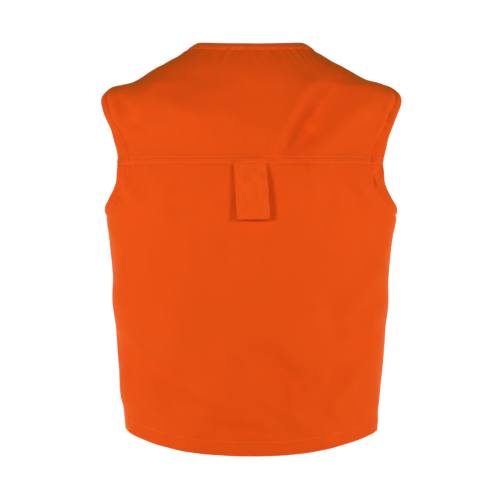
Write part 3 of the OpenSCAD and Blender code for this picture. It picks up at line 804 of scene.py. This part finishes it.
def yoke_off(a, z):
    """The yoke's outer face: it stands over the panel at its lower, folded edge."""
    x = body(a, z, BACK)[..., 0]
    up = z - YOKE_EDGE
    return (outer_off() + 1.0 * (1 - smooth((up - 9) / 9)) + 0.25 * np.exp(-(((up - 7.5) / 3) ** 2))
            + sewn(up - 3) + sewn(up - 12) + tag_lump(x, z))


def shell_rows(*parts):
    """Heights from several (from, to, spacing, easing) stretches, without repeats."""
    rows = []
    for low, high, step, ease in parts:
        t = np.linspace(0, 1, max(3, int(round((high - low) / step)) + 1))
        if ease == "in":
            t = 1 - np.cos(t * np.pi / 2)
        if ease == "out":
            t = np.sin(t * np.pi / 2)
        rows.extend(mix(low, high, t).tolist())
    rows = np.array(rows)
    return rows[np.concatenate([[True], np.diff(rows) > 1e-3])]


def from_side(side):
    return lambda z: edge_angle(z, side)


def to_side(side):
    return lambda z: 180 - edge_angle(z, side)


class VEST_OT_back(bpy.types.Operator):
    """Back panel and yoke, as one hanging shell with a sewn yoke seam"""

    bl_idname = "vest.back"
    bl_label = "Back and yoke"

    def execute(self, context):
        step = shell_settings().grid / MM
        rows = shell_rows((0, 30, step * 0.7, ""), (30, ARMPIT_H - 3, step, ""),
                          (ARMPIT_H - 1, YOKE_H + 2, step * 0.75, "in"))
        panel = shell_piece("back_panel_cloth", rows, from_side(BACK), to_side(BACK), BACK,
                            shell_cloth(), both=True, thick=edge_thick(BACK))
        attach(panel, "back")
        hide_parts("back_panel")
        rows = shell_rows((YOKE_EDGE, YOKE_EDGE + 16, step * 0.45, ""),
                          (YOKE_EDGE + 16, TIP_H - 1, step * 0.8, "out"),
                          (TIP_H + 0.6, SHOULDER_H - NECK_BAND + 4, step * 0.8, ""))
        yoke = shell_piece("back_yoke_cloth", rows, from_side(BACK), to_side(BACK), BACK,
                           shell_cloth(), both=True, off=yoke_off, thick=edge_thick(BACK))
        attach(yoke, "back")
        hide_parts("back_yoke")
        return {"FINISHED"}


NECK_OFF = 2.5


class VEST_OT_neck(bpy.types.Operator):
    """Bands folded over the neck's edge, at the back and along the V"""

    bl_idname = "vest.neck"
    bl_label = "Neck bands"

    def execute(self, context):
        a, u = level_angles(SHOULDER_H - 4, BACK, 0.0, 180.0, 170)
        up = np.linspace(0, 1, 9)
        aa, uu = np.broadcast_to(a, (9, 170)), np.broadcast_to(u, (9, 170))
        z = neck_z(aa) - NECK_BAND * (1 - up[:, None])
        crown = NECK_OFF + 0.35 * np.sin(up * np.pi)[:, None] - 0.5 * up[:, None] ** 6
        outer = lay(aa, z, BACK, crown)
        inner = lay(aa, z, BACK, -0.1 + 0.4 * up[:, None] ** 6)
        band = cloth_mesh("back_neck_band_cloth", outer, inner, np.stack([uu, z], -1), trim_cloth())
        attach(band, "back")
        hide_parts("back_neck_band")
        for name, way in SIDES.items():
            z = shell_rows((VEE_H + 1, VEE_H + 18, 1.2, ""), (VEE_H + 18, SHOULDER_H, 2.2, ""))
            w = np.linspace(0, 1, 8)
            x = np.minimum(vee_x(z)[:, None] + w * vee_band(z)[:, None], half_w(z)[:, None])
            zz = z[:, None] + 0 * x
            a = angle_at_x(x, zz, FRONT)
            crown = NECK_OFF + 0.35 * np.sin(w * np.pi) - 0.5 * (1 - w) ** 6
            outer = lay(a, zz, FRONT, crown) * [way, 1, 1]
            inner = lay(a, zz, FRONT, -0.1) * [way, 1, 1]
            front = cloth_mesh(f"neck_band_front_{name}_cloth", outer, inner,
                               np.stack([w * 12 + 0 * x, zz], -1), trim_cloth())
            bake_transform(front)
            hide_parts(f"neck_band_front_{name}")
        return {"FINISHED"}


def arm_path(side, out):
    """Angles and heights along one half of an armhole, `out` away from its edge."""
    t = np.linspace(0, np.pi, 150)
    z = ARM_MID - (ARM_HALF + out) * np.cos(t)
    y = (ARMHOLE_W[side] * (1 + ARMHOLE_SKEW * np.cos(t)) + out) * np.sin(t)
    return angle_at_y(y, z, side), z


class VEST_OT_facings(bpy.types.Operator):
    """Facings turned in round the armholes"""

    bl_idname = "vest.facings"
    bl_label = "Armhole facings"

    def execute(self, context):
        wide = np.linspace(0.8, shell_settings().armhole_band / MM + 2, 7)
        for side, word in ((BACK, "back"), (FRONT, "front")):
            a, z = (np.stack(v, 1) for v in zip(*[arm_path(side, w) for w in wide]))
            shown = lay(a, z, side, -0.25)
            behind = lay(a, z, side, 0.35)
            flat = np.stack([wide + 0 * a, z], -1)
            for name, way in SIDES.items():
                facing = cloth_mesh(f"armhole_facing_{word}_{name}_cloth", shown * [way, 1, 1],
                                    behind * [way, 1, 1], flat, trim_cloth())
                if side == BACK:
                    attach(facing, "back")
                else:
                    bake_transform(facing)
                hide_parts(f"armhole_facing_{word}_{name}")
        return {"FINISHED"}


def panel_inner(z):
    """Where the front panel ends: at the zip, and under the band along the V."""
    x = vee_x(z) + vee_band(z) * 0.6
    return angle_at_x(np.minimum(x, half_w(z) - 0.2), z, FRONT)


class VEST_OT_fronts(bpy.types.Operator):
    """Left and right front panels"""

    bl_idname = "vest.fronts"
    bl_label = "Fronts"

    def execute(self, context):
        step = shell_settings().grid / MM
        rows = shell_rows((0, 30, step * 0.8, ""), (30, ARMPIT_H - 3, step * 1.1, ""),
                          (ARMPIT_H - 1, VEE_H, step * 0.9, "in"),
                          (VEE_H, TIP_H - 1, step * 0.8, "out"),
                          (TIP_H + 0.6, SHOULDER_H - 1, step, ""))
        for name, way in SIDES.items():
            panel = shell_piece(f"front_panel_{name}_cloth", rows, from_side(FRONT), panel_inner,
                                FRONT, shell_cloth(), mirror=way < 0, thick=edge_thick(FRONT))
            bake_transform(panel)
            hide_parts(f"front_panel_{name}")
        return {"FINISHED"}


TAG_TOP = YOKE_H - 3.5
TAG_WALL, TAG_GAP, TAG_STAND = 1.15, 5.6, 1.4
TAG_ROWS = 13.5


def tag_profile():
    """[out, down] along the loop's two faces: the outer layer, the fold, and the inner layer."""
    turn = TAG_GAP / 2
    long = TAG_L - turn
    t = np.linspace(0, 1, 40)
    open_out = 0.05 + 0.95 * np.sin(np.minimum(1, t * 2.0) * np.pi / 2)
    rise = 0.2 + (TAG_STAND - 0.2) * smooth(t * 3)
    far = rise + TAG_WALL + TAG_GAP * open_out
    bend = np.linspace(0, np.pi, 16)[1:-1]
    centre = rise[-1] + TAG_WALL + turn
    inner = np.concatenate([
        np.stack([far, long * t], -1),
        np.stack([centre + turn * np.cos(bend), long + turn * np.sin(bend)], -1),
        np.stack([rise + TAG_WALL, long * t], -1)[::-1]])
    outer = np.concatenate([
        np.stack([far + TAG_WALL, long * t], -1),
        np.stack([centre + (turn + TAG_WALL) * np.cos(bend),
                  long + (turn + TAG_WALL) * np.sin(bend)], -1),
        np.stack([rise, long * t], -1)[::-1]])
    return outer, inner


def tag_grid(profile, across):
    """Points of the tag loop: one row for each profile point, one column for each x in across."""
    out, down = profile[:, :1], profile[:, 1:]
    steps = np.linalg.norm(np.diff(profile, axis=0), axis=1)
    run = np.concatenate([[0], np.cumsum(steps)])[:, None]
    free = smooth(down / 12)
    x = across[None, :]
    wave = (1.2 * waves(x + 0 * run, run + 0 * x, 21, 19)
            + sewn(np.abs(x) - TAG_ROWS)
            + 0.6 * np.exp(-((np.abs(x) - TAG_W / 2 + 1) / 2.2) ** 2)
            + 0.9 * np.exp(-((x + 0.12 * (run - 40)) / 3.5) ** 2)) * free
    half = 1 + 0.012 * ripple(run, 5, 34)
    y = depth(TAG_TOP, BACK) + outer_off() + out + wave * np.where(run < TAG_L + 4, 1, -0.4)
    px = x * half + TAG_SHIFT + TAG_LEAN * down / TAG_L
    pz = TAG_TOP - down - SHOULDER_H + 0.5 * (x / 25) ** 2 * free
    return np.stack([px, y, pz], -1), run


class VEST_OT_tag_loop(bpy.types.Operator):
    """Hanging loop of doubled cloth, and its end caught in the yoke seam"""

    bl_idname = "vest.tag_loop"
    bl_label = "Tag loop"

    def execute(self, context):
        across = np.linspace(-TAG_W / 2, TAG_W / 2, 42)
        outer_line, inner_line = tag_profile()
        outer, run = tag_grid(outer_line, across)
        inner, _ = tag_grid(inner_line, across)
        loop = cloth_mesh("tag_loop_cloth", outer, inner,
                          np.stack([across[None, :] + 0 * run, run + 0 * across[None, :]], -1),
                          trim_cloth())
        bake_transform(loop)
        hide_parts("tag_loop")
        # the caught end, under the yoke's edge
        z = np.linspace(TAG_TOP - 1, YOKE_EDGE + 10.5, 8)
        x = np.linspace(-TAG_W / 2, TAG_W / 2, 24) + TAG_SHIFT
        xx, zz = np.meshgrid(x, z)
        a = angle_across(xx, zz, BACK)
        fade = 1 - 0.75 * smooth((zz - TAG_TOP - 2) / 7)
        top = lay(a, zz, BACK, outer_off() + 0.1 + 1.5 * fade)
        low = lay(a, zz, BACK, outer_off() + 0.05)
        end = cloth_mesh("tag_loop_end_cloth", top, low, np.stack([xx, zz], -1), trim_cloth())
        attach(end, "back")
        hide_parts("tag_loop_anchor")
        return {"FINISHED"}


HANGER_Z, HANGER_HALF, HANGER_W = SHOULDER_H - 26, 28.0, 7.0
HANGER_BOW, HANGER_SAG = 9.0, 1.2


class VEST_OT_hanger_and_label(bpy.types.Operator):
    """Hanger loop and blank label inside the back neck"""

    bl_idname = "vest.hanger_and_label"
    bl_label = "Hanger loop and label"

    def execute(self, context):
        ends_y = float(depth(HANGER_Z, BACK)) - 2.6
        u = np.linspace(-1.12, 1.12, 60)
        v = np.linspace(-1, 1, 7)
        hump = np.cos(np.clip(u, -1, 1) * np.pi / 2)[:, None] ** 2
        x = u[:, None] * HANGER_HALF
        tucked = 0.66 * smooth((np.abs(u[:, None]) - 1.0) / 0.12)

        def at(d):
            y = ends_y - HANGER_BOW * hump - d + 0.25 * np.abs(v) ** 3 + tucked
            z = HANGER_Z - SHOULDER_H - HANGER_SAG * hump + v * HANGER_W / 2
            return np.stack(np.broadcast_arrays(x, y, z), -1)

        flat = np.stack(np.broadcast_arrays(x, v * HANGER_W / 2), -1)
        loop = cloth_mesh("hanger_loop_tape", at(1.0), at(0.0), flat, trim_cloth())
        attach(loop, "back")
        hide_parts("hanger_loop")
        x = np.linspace(-20, 20, 40)
        down = np.linspace(0, 30, 30)
        xx, zz = np.meshgrid(x, HANGER_Z - 9 - down)
        a = angle_across(xx, zz, BACK)
        curl = 0.9 * smooth((HANGER_Z - 12 - zz) / 30) * (1 + 0.5 * np.cos(xx / 6))
        face = lay(a, zz, BACK, -0.3 - curl)
        behind = lay(a, zz, BACK, 0.15 - curl)
        look = context.scene.vest_look
        white = cloth_material("vest_label_cloth", look.label, threads=2600.0, bump=0.3, rough=0.55,
                               sheen=0.1, dark=0.95, light=1.0, inside=1.0)
        label = cloth_mesh("size_label_cloth", behind, face, np.stack([xx, zz], -1), white)
        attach(label, "back")
        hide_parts("size_label")
        return {"FINISHED"}


POCKET_BASE = 2.3
CORNER = 13.0


def pocket_stand(z):
    """How far the pocket's outer face stands off the shell's inner face."""
    t = np.clip((z - POCKET_BOTTOM) / (POCKET_TOP - POCKET_BOTTOM), 0, 1)
    return 3.8 + (POCKET_DEEP - 1.8) * np.sin(np.pi / 2 * t**0.7)


def corner_inset(rise):
    """How far a side comes in near its round lower corner."""
    r = np.clip(CORNER - rise, 0, CORNER)
    return CORNER - np.sqrt(CORNER**2 - r**2)


def pocket_off(x, z):
    side = np.minimum(x - POCKET_IN, POCKET_OUT - x) - corner_inset(z - POCKET_BOTTOM)
    rise = smooth(side / 9 + 0.02) * smooth((z - POCKET_BOTTOM) / 9)
    sag = 0.9 * waves(x, z, 31, 60) * smooth(side / 25)
    return POCKET_BASE + (pocket_stand(z) - POCKET_BASE + sag) * rise


def on_front(x, z, off):
    return lay(angle_at_x(x, z, FRONT), z, FRONT, off)


# [height, distance of the flap's outer face from the shell's inner face]
FLAP_FACE = np.array([[198, 19.6], [220, 20.2], [240, 20.0], [248, 16.4], [253, 9.6], [256, 3.4]])


def flap_off(x, z):
    edge = np.minimum(x - POCKET_IN + FLAP_WIDER, POCKET_OUT + FLAP_WIDER - x)
    curl = -0.8 * (1 - smooth(edge / 12)) + 0.45 * waves(x, z, 33, 70)
    # it lies still along its sewn edge and under the snap
    return (through(FLAP_FACE, z) + curl * smooth((FLAP_TOP - z) / 16)
            * smooth(np.hypot(x - SNAP_X, z - SNAP_Z) / 22))


class VEST_OT_pockets(bpy.types.Operator):
    """Patch pockets that stand open at the mouth, and their flaps"""

    bl_idname = "vest.pockets"
    bl_label = "Pockets and flaps"

    def execute(self, context):
        for name, way in SIDES.items():
            z = np.linspace(POCKET_BOTTOM, POCKET_TOP, 74)[:, None]
            t = np.linspace(0, 1, 60)[None, :]
            inset = corner_inset(z - POCKET_BOTTOM)
            x = mix(POCKET_IN + inset, POCKET_OUT - inset, t)
            z = z + 0 * x
            off = pocket_off(x, z)
            hem = 0.9 * smooth((z - POCKET_TOP + POCKET_HEM) / 1.2)
            outer = on_front(x, z, off) * [way, 1, 1]
            inner = on_front(x, z, off - 0.6 - hem) * [way, 1, 1]
            bag = cloth_mesh(f"pocket_bag_{name}_cloth", outer, inner, np.stack([x, z], -1),
                             shell_cloth())
            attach(bag, f"front_{name}")
            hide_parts(f"pocket_bag_{name}")
            s = np.linspace(0, 1, 50)[:, None] ** 1.35
            z = FLAP_TOP - FLAP_L * s
            inset = corner_inset(z - (FLAP_TOP - FLAP_L))
            x = mix(POCKET_IN - FLAP_WIDER + inset, POCKET_OUT + FLAP_WIDER - inset, t)
            z = z + 0 * x
            off = flap_off(x, z)
            outer = on_front(x, z, off) * [way, 1, 1]
            inner = on_front(x, z, off - 1.2) * [way, 1, 1]
            flap = cloth_mesh(f"pocket_flap_{name}_cloth", outer, inner, np.stack([x, z], -1),
                              shell_cloth())
            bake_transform(flap)
            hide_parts(f"pocket_flap_{name}")
        return {"FINISHED"}


def on_shell(a, z, side, off):
    """A stitch line over the shell: its points and their outward directions."""
    return lay(a, z, side, off), outward(a, z, side)


def along_x(x, z, off, side):
    """A stitch line through points (x, z) on the shell, `off` outside its inner face."""
    return on_shell(angle_across(x, z, side), z, side, off)


def edge_path(low, high, left, right, inside):
    """Down one side, round the lower corners and up the other, `inside` from the edge."""
    r = max(CORNER - inside, 1.0)
    down = np.linspace(high, low + CORNER, 60)
    turn = np.linspace(0, np.pi / 2, 12)[1:]
    x0, x1, z0 = left + inside, right - inside, low + inside
    level = np.linspace(x0 + r, x1 - r, 50)[1:-1]
    xs = np.concatenate([np.full_like(down, x0), x0 + r - r * np.cos(turn), level,
                         x1 - r + r * np.sin(turn), np.full_like(down, x1)])
    zs = np.concatenate([down, z0 + r - r * np.sin(turn), np.full_like(level, z0),
                         z0 + r - r * np.cos(turn), down[::-1]])
    return xs, zs


def armhole_row(side):
    """Angles and heights of the stitches on an armhole's band, short of the seams at its ends."""
    a, z = arm_path(side, shell_settings().armhole_band / MM - 1.6)
    return a[4:-4], z[4:-4]


def back_rows():
    """Stitch lines of the back: yoke seam, neck, hem and both armholes."""
    rows = []
    for z in YOKE_ROWS:
        side_angle = float(edge_angle(z, BACK)) + 0.8
        a, _ = level_angles(z, BACK, side_angle, 180 - side_angle, 420)
        rows.append(on_shell(a, z + 0 * a, BACK, yoke_off(a, z + 0 * a)))
    a, _ = level_angles(SHOULDER_H - 9.0, BACK, 1.0, 179.0, 240)
    rows.append(on_shell(a, neck_z(a) - NECK_BAND + 1.9, BACK, NECK_OFF + 0.2))
    a, _ = level_angles(30.0, BACK, 1.0, 179.0, 420)
    rows.append(on_shell(a, hem_z(a, BACK) + shell_settings().hem / MM, BACK, outer_off()))
    a, z = armhole_row(BACK)
    left = on_shell(a, z, BACK, np.where(z > YOKE_EDGE, yoke_off(a, z), outer_off()))
    return rows + [left, tuple(v * [-1, 1, 1] for v in left)]


def front_rows():
    """Stitch lines of the left front: armhole, V, zip, hem and pocket."""
    hem = shell_settings().hem / MM
    rows = [on_shell(*armhole_row(FRONT), FRONT, outer_off())]
    z = np.linspace(VEE_H + 10, SHOULDER_H - 5, 160)
    rows.append(along_x(vee_x(z) + vee_band(z) * 0.8, z, NECK_OFF + 0.25, FRONT))
    z = np.linspace(hem + 22, VEE_H - 4, 260)
    rows.append(along_x(0 * z + PANEL_EDGE + 6, z, outer_off(), FRONT))
    x = np.linspace(PANEL_EDGE + 6, float(half_w(25)) - 6, 240)
    a = angle_at_x(x, 0 * x + 40, FRONT)
    rows.append(on_shell(a, hem_z(a, FRONT) + hem, FRONT, outer_off()))
    for inside in (3.0, 9.5):
        x, z = edge_path(POCKET_BOTTOM, POCKET_TOP - 3, POCKET_IN, POCKET_OUT, inside)
        rows.append(along_x(x, z, pocket_off(x, z), FRONT))
    x = np.linspace(POCKET_IN + 11, POCKET_OUT - 11, 90)
    z = 0 * x + POCKET_TOP - POCKET_HEM
    rows.append(along_x(x, z, pocket_off(x, z), FRONT))
    return rows


def flap_rows():
    """Stitch lines of the left pocket's flap: round its edge and along its sewn top."""
    x, z = edge_path(FLAP_TOP - FLAP_L, FLAP_TOP - 6, POCKET_IN - FLAP_WIDER,
                     POCKET_OUT + FLAP_WIDER, 4.5)
    edge = along_x(x, z, flap_off(x, z), FRONT)
    x = np.linspace(POCKET_IN, POCKET_OUT, 100)
    z = 0 * x + FLAP_TOP - 1.8
    return [edge, along_x(x, z, flap_off(x, z), FRONT)]


def tag_rows():
    """Stitch lines of the tag loop's outer layer, from the yoke to just past the fold."""
    outer_line = tag_profile()[0][2:46]
    rows = []
    for x in (-TAG_ROWS, TAG_ROWS):
        line = tag_grid(outer_line, np.array([x]))[0][:, 0]
        run = np.gradient(line, axis=0)
        n = np.cross(np.broadcast_to([1.0, 0, 0], run.shape), run)
        n /= np.linalg.norm(n, axis=1, keepdims=True)
        n *= np.sign(n[:1, 1:2])
        rows.append((line, n))
    return rows


class VEST_OT_stitching(bpy.types.Operator):
    """Topstitching of the back, the fronts, the flaps and the tag loop"""

    bl_idname = "vest.stitching"
    bl_label = "Stitching"

    def execute(self, context):
        thread = thread_finish()
        back = thread_mesh("back_stitching", back_rows(), thread)
        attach(back, "back")
        for name, way in SIDES.items():
            front = thread_mesh(f"front_stitching_{name}", front_rows(), thread, mirror=way < 0)
            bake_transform(front)
            flap = thread_mesh(f"flap_stitching_{name}", flap_rows(), thread, mirror=way < 0)
            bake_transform(flap)
        tag = thread_mesh("tag_loop_stitching", tag_rows(), thread)
        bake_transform(tag)
        return {"FINISHED"}


TAPE_IN, TAPE_OUT = 9.6, 29.5
PLACKET_FROM, PLACKET_TO, PLACKET_Y = -30.0, 2.4, -112.9


class VEST_OT_zip(bpy.types.Operator):
    """Zip tapes and guard strip, and the finish of the moulded and metal parts"""

    bl_idname = "vest.zip"
    bl_label = "Zip"

    def execute(self, context):
        look = context.scene.vest_look
        tape_cloth = cloth_material("vest_zip_tape", look.shell, threads=1300.0, bump=0.6,
                                    rough=0.7, dark=0.85, light=0.98, inside=0.95)
        for name, way in SIDES.items():
            z = np.linspace(ZIP_BOTTOM, ZIP_TOP + 6, 220)
            x = np.linspace(TAPE_IN, TAPE_OUT, 14)
            xx, zz = np.meshgrid(x, z)
            wave = 0.25 * ripple(zz, 41, 40) * smooth((xx - 12) / 10)
            cord = 0.5 * np.exp(-(((xx - TAPE_IN - 0.8) / 0.8) ** 2))
            front = np.stack([xx * way, ZIP_Y - 0.35 - cord - wave, zz - SHOULDER_H], -1)
            behind = np.stack([xx * way, ZIP_Y + 0.35 + cord - wave, zz - SHOULDER_H], -1)
            tape = cloth_mesh(f"zipper_tape_{name}_cloth", front, behind, np.stack([xx, zz], -1),
                              tape_cloth)
            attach(tape, f"front_{name}")
            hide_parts(f"zipper_tape_{name}")
        z = np.linspace(ZIP_BOTTOM + 32, ZIP_TOP, 180)
        x = np.linspace(PLACKET_FROM, PLACKET_TO, 22)
        xx, zz = np.meshgrid(x, z)
        wave = 0.7 * waves(xx, zz, 43, 60) * smooth((xx - PLACKET_FROM) / 12)
        front = np.stack([xx, PLACKET_Y + wave, zz - SHOULDER_H], -1)
        behind = np.stack([xx, PLACKET_Y + 1 + wave, zz - SHOULDER_H], -1)
        placket = cloth_mesh("zipper_placket_cloth", front, behind, np.stack([xx, zz], -1),
                             shell_cloth())
        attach(placket, "front_right")
        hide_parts("zipper_placket")
        plastic = hard_material("vest_zip_plastic", look.plastic, 0.0, 0.42, 0.15)
        metal = hard_material("vest_plated_metal", look.metal, 1.0, 0.34, 0.1)
        finish = {"zip_plastic": (plastic, 0.18), "zip_metal": (metal, 0.35),
                  "snap_metal": (metal, 0.25)}
        slots = {part["node"]: part["material_slot"] for part in frame["record"]["subparts"]}
        for part, obj in frame["nodes"].items():
            if slots[part] not in finish:
                continue
            material, bevel_mm = finish[slots[part]]
            obj.data.materials.clear()
            obj.data.materials.append(material)
            bevel = obj.modifiers.new("rounded edges", "BEVEL")
            bevel.width = bevel_mm * MM
            bevel.segments = 2
            bevel.limit_method = "ANGLE"
            bevel.harden_normals = False
        return {"FINISHED"}


def area_light(name, place, aim, size, power):
    data = bpy.data.lights.new(name, "AREA")
    data.shape = "RECTANGLE"
    data.size, data.size_y = size
    data.energy = power
    lamp = bpy.data.objects.new(name, data)
    lamp.location = place
    lamp.rotation_euler = (Vector(aim) - Vector(place)).to_track_quat("-Z", "Y").to_euler()
    lamp.visible_camera = False
    bpy.context.scene.collection.objects.link(lamp)


EYE = Vector((0.0012, 2.6, -0.3276))
VIEW_WIDTH = 0.8  # what the camera takes in at the vest's middle
VEST_MIDDLE = (0, 0, -0.33)


FLOOR_Z, REACH, CURVE, TOP_Z = -1.15, 6.0, 1.6, 6.0


def studio_sweep():
    """Round floor that curves up into a wall, of pale paper."""
    bend = np.linspace(0, np.pi / 2, 16)
    line = [(0.01, FLOOR_Z)]
    line += [(REACH - CURVE + CURVE * math.sin(b), FLOOR_Z + CURVE - CURVE * math.cos(b))
             for b in bend]
    line += [(REACH, TOP_Z)]
    turn = np.linspace(0, 2 * np.pi, 97)
    points = np.array([[(r * math.cos(t), r * math.sin(t), z) for t in turn] for r, z in line]) / MM
    material, tree, shader = new_material("studio_paper")
    shade = node(tree, "ShaderNodeTexNoise", (2, 0))
    shade.inputs["Scale"].default_value = 1.5
    tree.links.new(tinted(tree, (3, 0), (0.80, 0.80, 0.80), shade.outputs["Fac"], 0.99, 1.0),
                   shader.inputs["Base Color"])
    shader.inputs["Roughness"].default_value = 0.9
    # the paper glows for the camera alone, so it is white behind the vest and adds no light
    shader.inputs["Emission Color"].default_value = (1, 1, 1, 1)
    seen = node(tree, "ShaderNodeLightPath", (2, 3))
    tree.links.new(seen.outputs["Is Camera Ray"], shader.inputs["Emission Strength"])
    return new_mesh("studio_sweep", points.reshape(-1, 3), grid_faces(len(line), len(turn)), material)


def studio_world():
    world = bpy.data.worlds.new("studio")
    world.use_nodes = True
    ground = world.node_tree.nodes["Background"]
    ground.inputs["Color"].default_value = (1.0, 1.0, 1.0, 1)
    ground.inputs["Strength"].default_value = 0.07
    return world


def studio_camera():
    data = bpy.data.cameras.new("camera")
    data.lens_unit = "FOV"
    data.angle = 2 * math.atan(VIEW_WIDTH / 2 / EYE.y)
    camera = bpy.data.objects.new("camera", data)
    camera.location = EYE
    camera.rotation_euler = (Vector((EYE.x, 0, EYE.z)) - EYE).to_track_quat("-Z", "Y").to_euler()
    bpy.context.scene.collection.objects.link(camera)
    return camera


class VEST_OT_stage(bpy.types.Operator):
    """Pale floor, soft studio light and a camera behind the vest"""

    bl_idname = "vest.stage"
    bl_label = "Stage"

    def execute(self, context):
        context.scene.view_settings.view_transform = "Standard"
        studio_sweep()
        context.scene.world = studio_world()
        area_light("left key", (1.2, 1.5, 0.0), VEST_MIDDLE, (0.3, 0.5), 14.8)
        area_light("right key", (-1.2, 1.5, 0.0), VEST_MIDDLE, (0.3, 0.5), 13.8)
        area_light("back fill", (0.0, 1.8, 0.3), (0, 0, -0.1), (0.9, 0.5), 3.5)
        for way in (-1, 1):
            area_light("side light", (way * 1.5, -0.05, -0.6), VEST_MIDDLE, (0.4, 0.8), 7.5)
            area_light("front light", (way * 1.1, -1.8, -0.6), VEST_MIDDLE, (0.7, 0.8), 13)
        context.scene.camera = studio_camera()
        return {"FINISHED"}


STEPS = (VEST_OT_back, VEST_OT_neck, VEST_OT_facings, VEST_OT_fronts, VEST_OT_tag_loop,
         VEST_OT_hanger_and_label, VEST_OT_pockets, VEST_OT_zip, VEST_OT_stitching, VEST_OT_stage)


class VEST_PT_panel(bpy.types.Panel):
    """Sizes, colours and the steps that build the vest"""

    bl_idname = "VEST_PT_panel"
    bl_label = "Vest"
    bl_space_type = "VIEW_3D"
    bl_region_type = "UI"
    bl_category = "Vest"

    def draw(self, context):
        for settings in (context.scene.vest_shell, context.scene.vest_look):
            for name in settings.bl_rna.properties.keys():
                if name not in ("rna_type", "name"):
                    self.layout.prop(settings, name)
        for step in STEPS:
            self.layout.operator(step.bl_idname)


CLASSES = (VestShell, VestLook, *STEPS, VEST_PT_panel)


def register():
    for item in CLASSES:
        bpy.utils.register_class(item)
    bpy.types.Scene.vest_shell = bpy.props.PointerProperty(type=VestShell)
    bpy.types.Scene.vest_look = bpy.props.PointerProperty(type=VestLook)


def unregister():
    del bpy.types.Scene.vest_look
    del bpy.types.Scene.vest_shell
    for item in reversed(CLASSES):
        bpy.utils.unregister_class(item)


def main():
    register()
    for step in STEPS:
        group, name = step.bl_idname.split(".")
        if getattr(getattr(bpy.ops, group), name)() != {"FINISHED"}:
            raise RuntimeError(f"{step.bl_label} didn't finish")


if __name__ == "__main__":
    main()
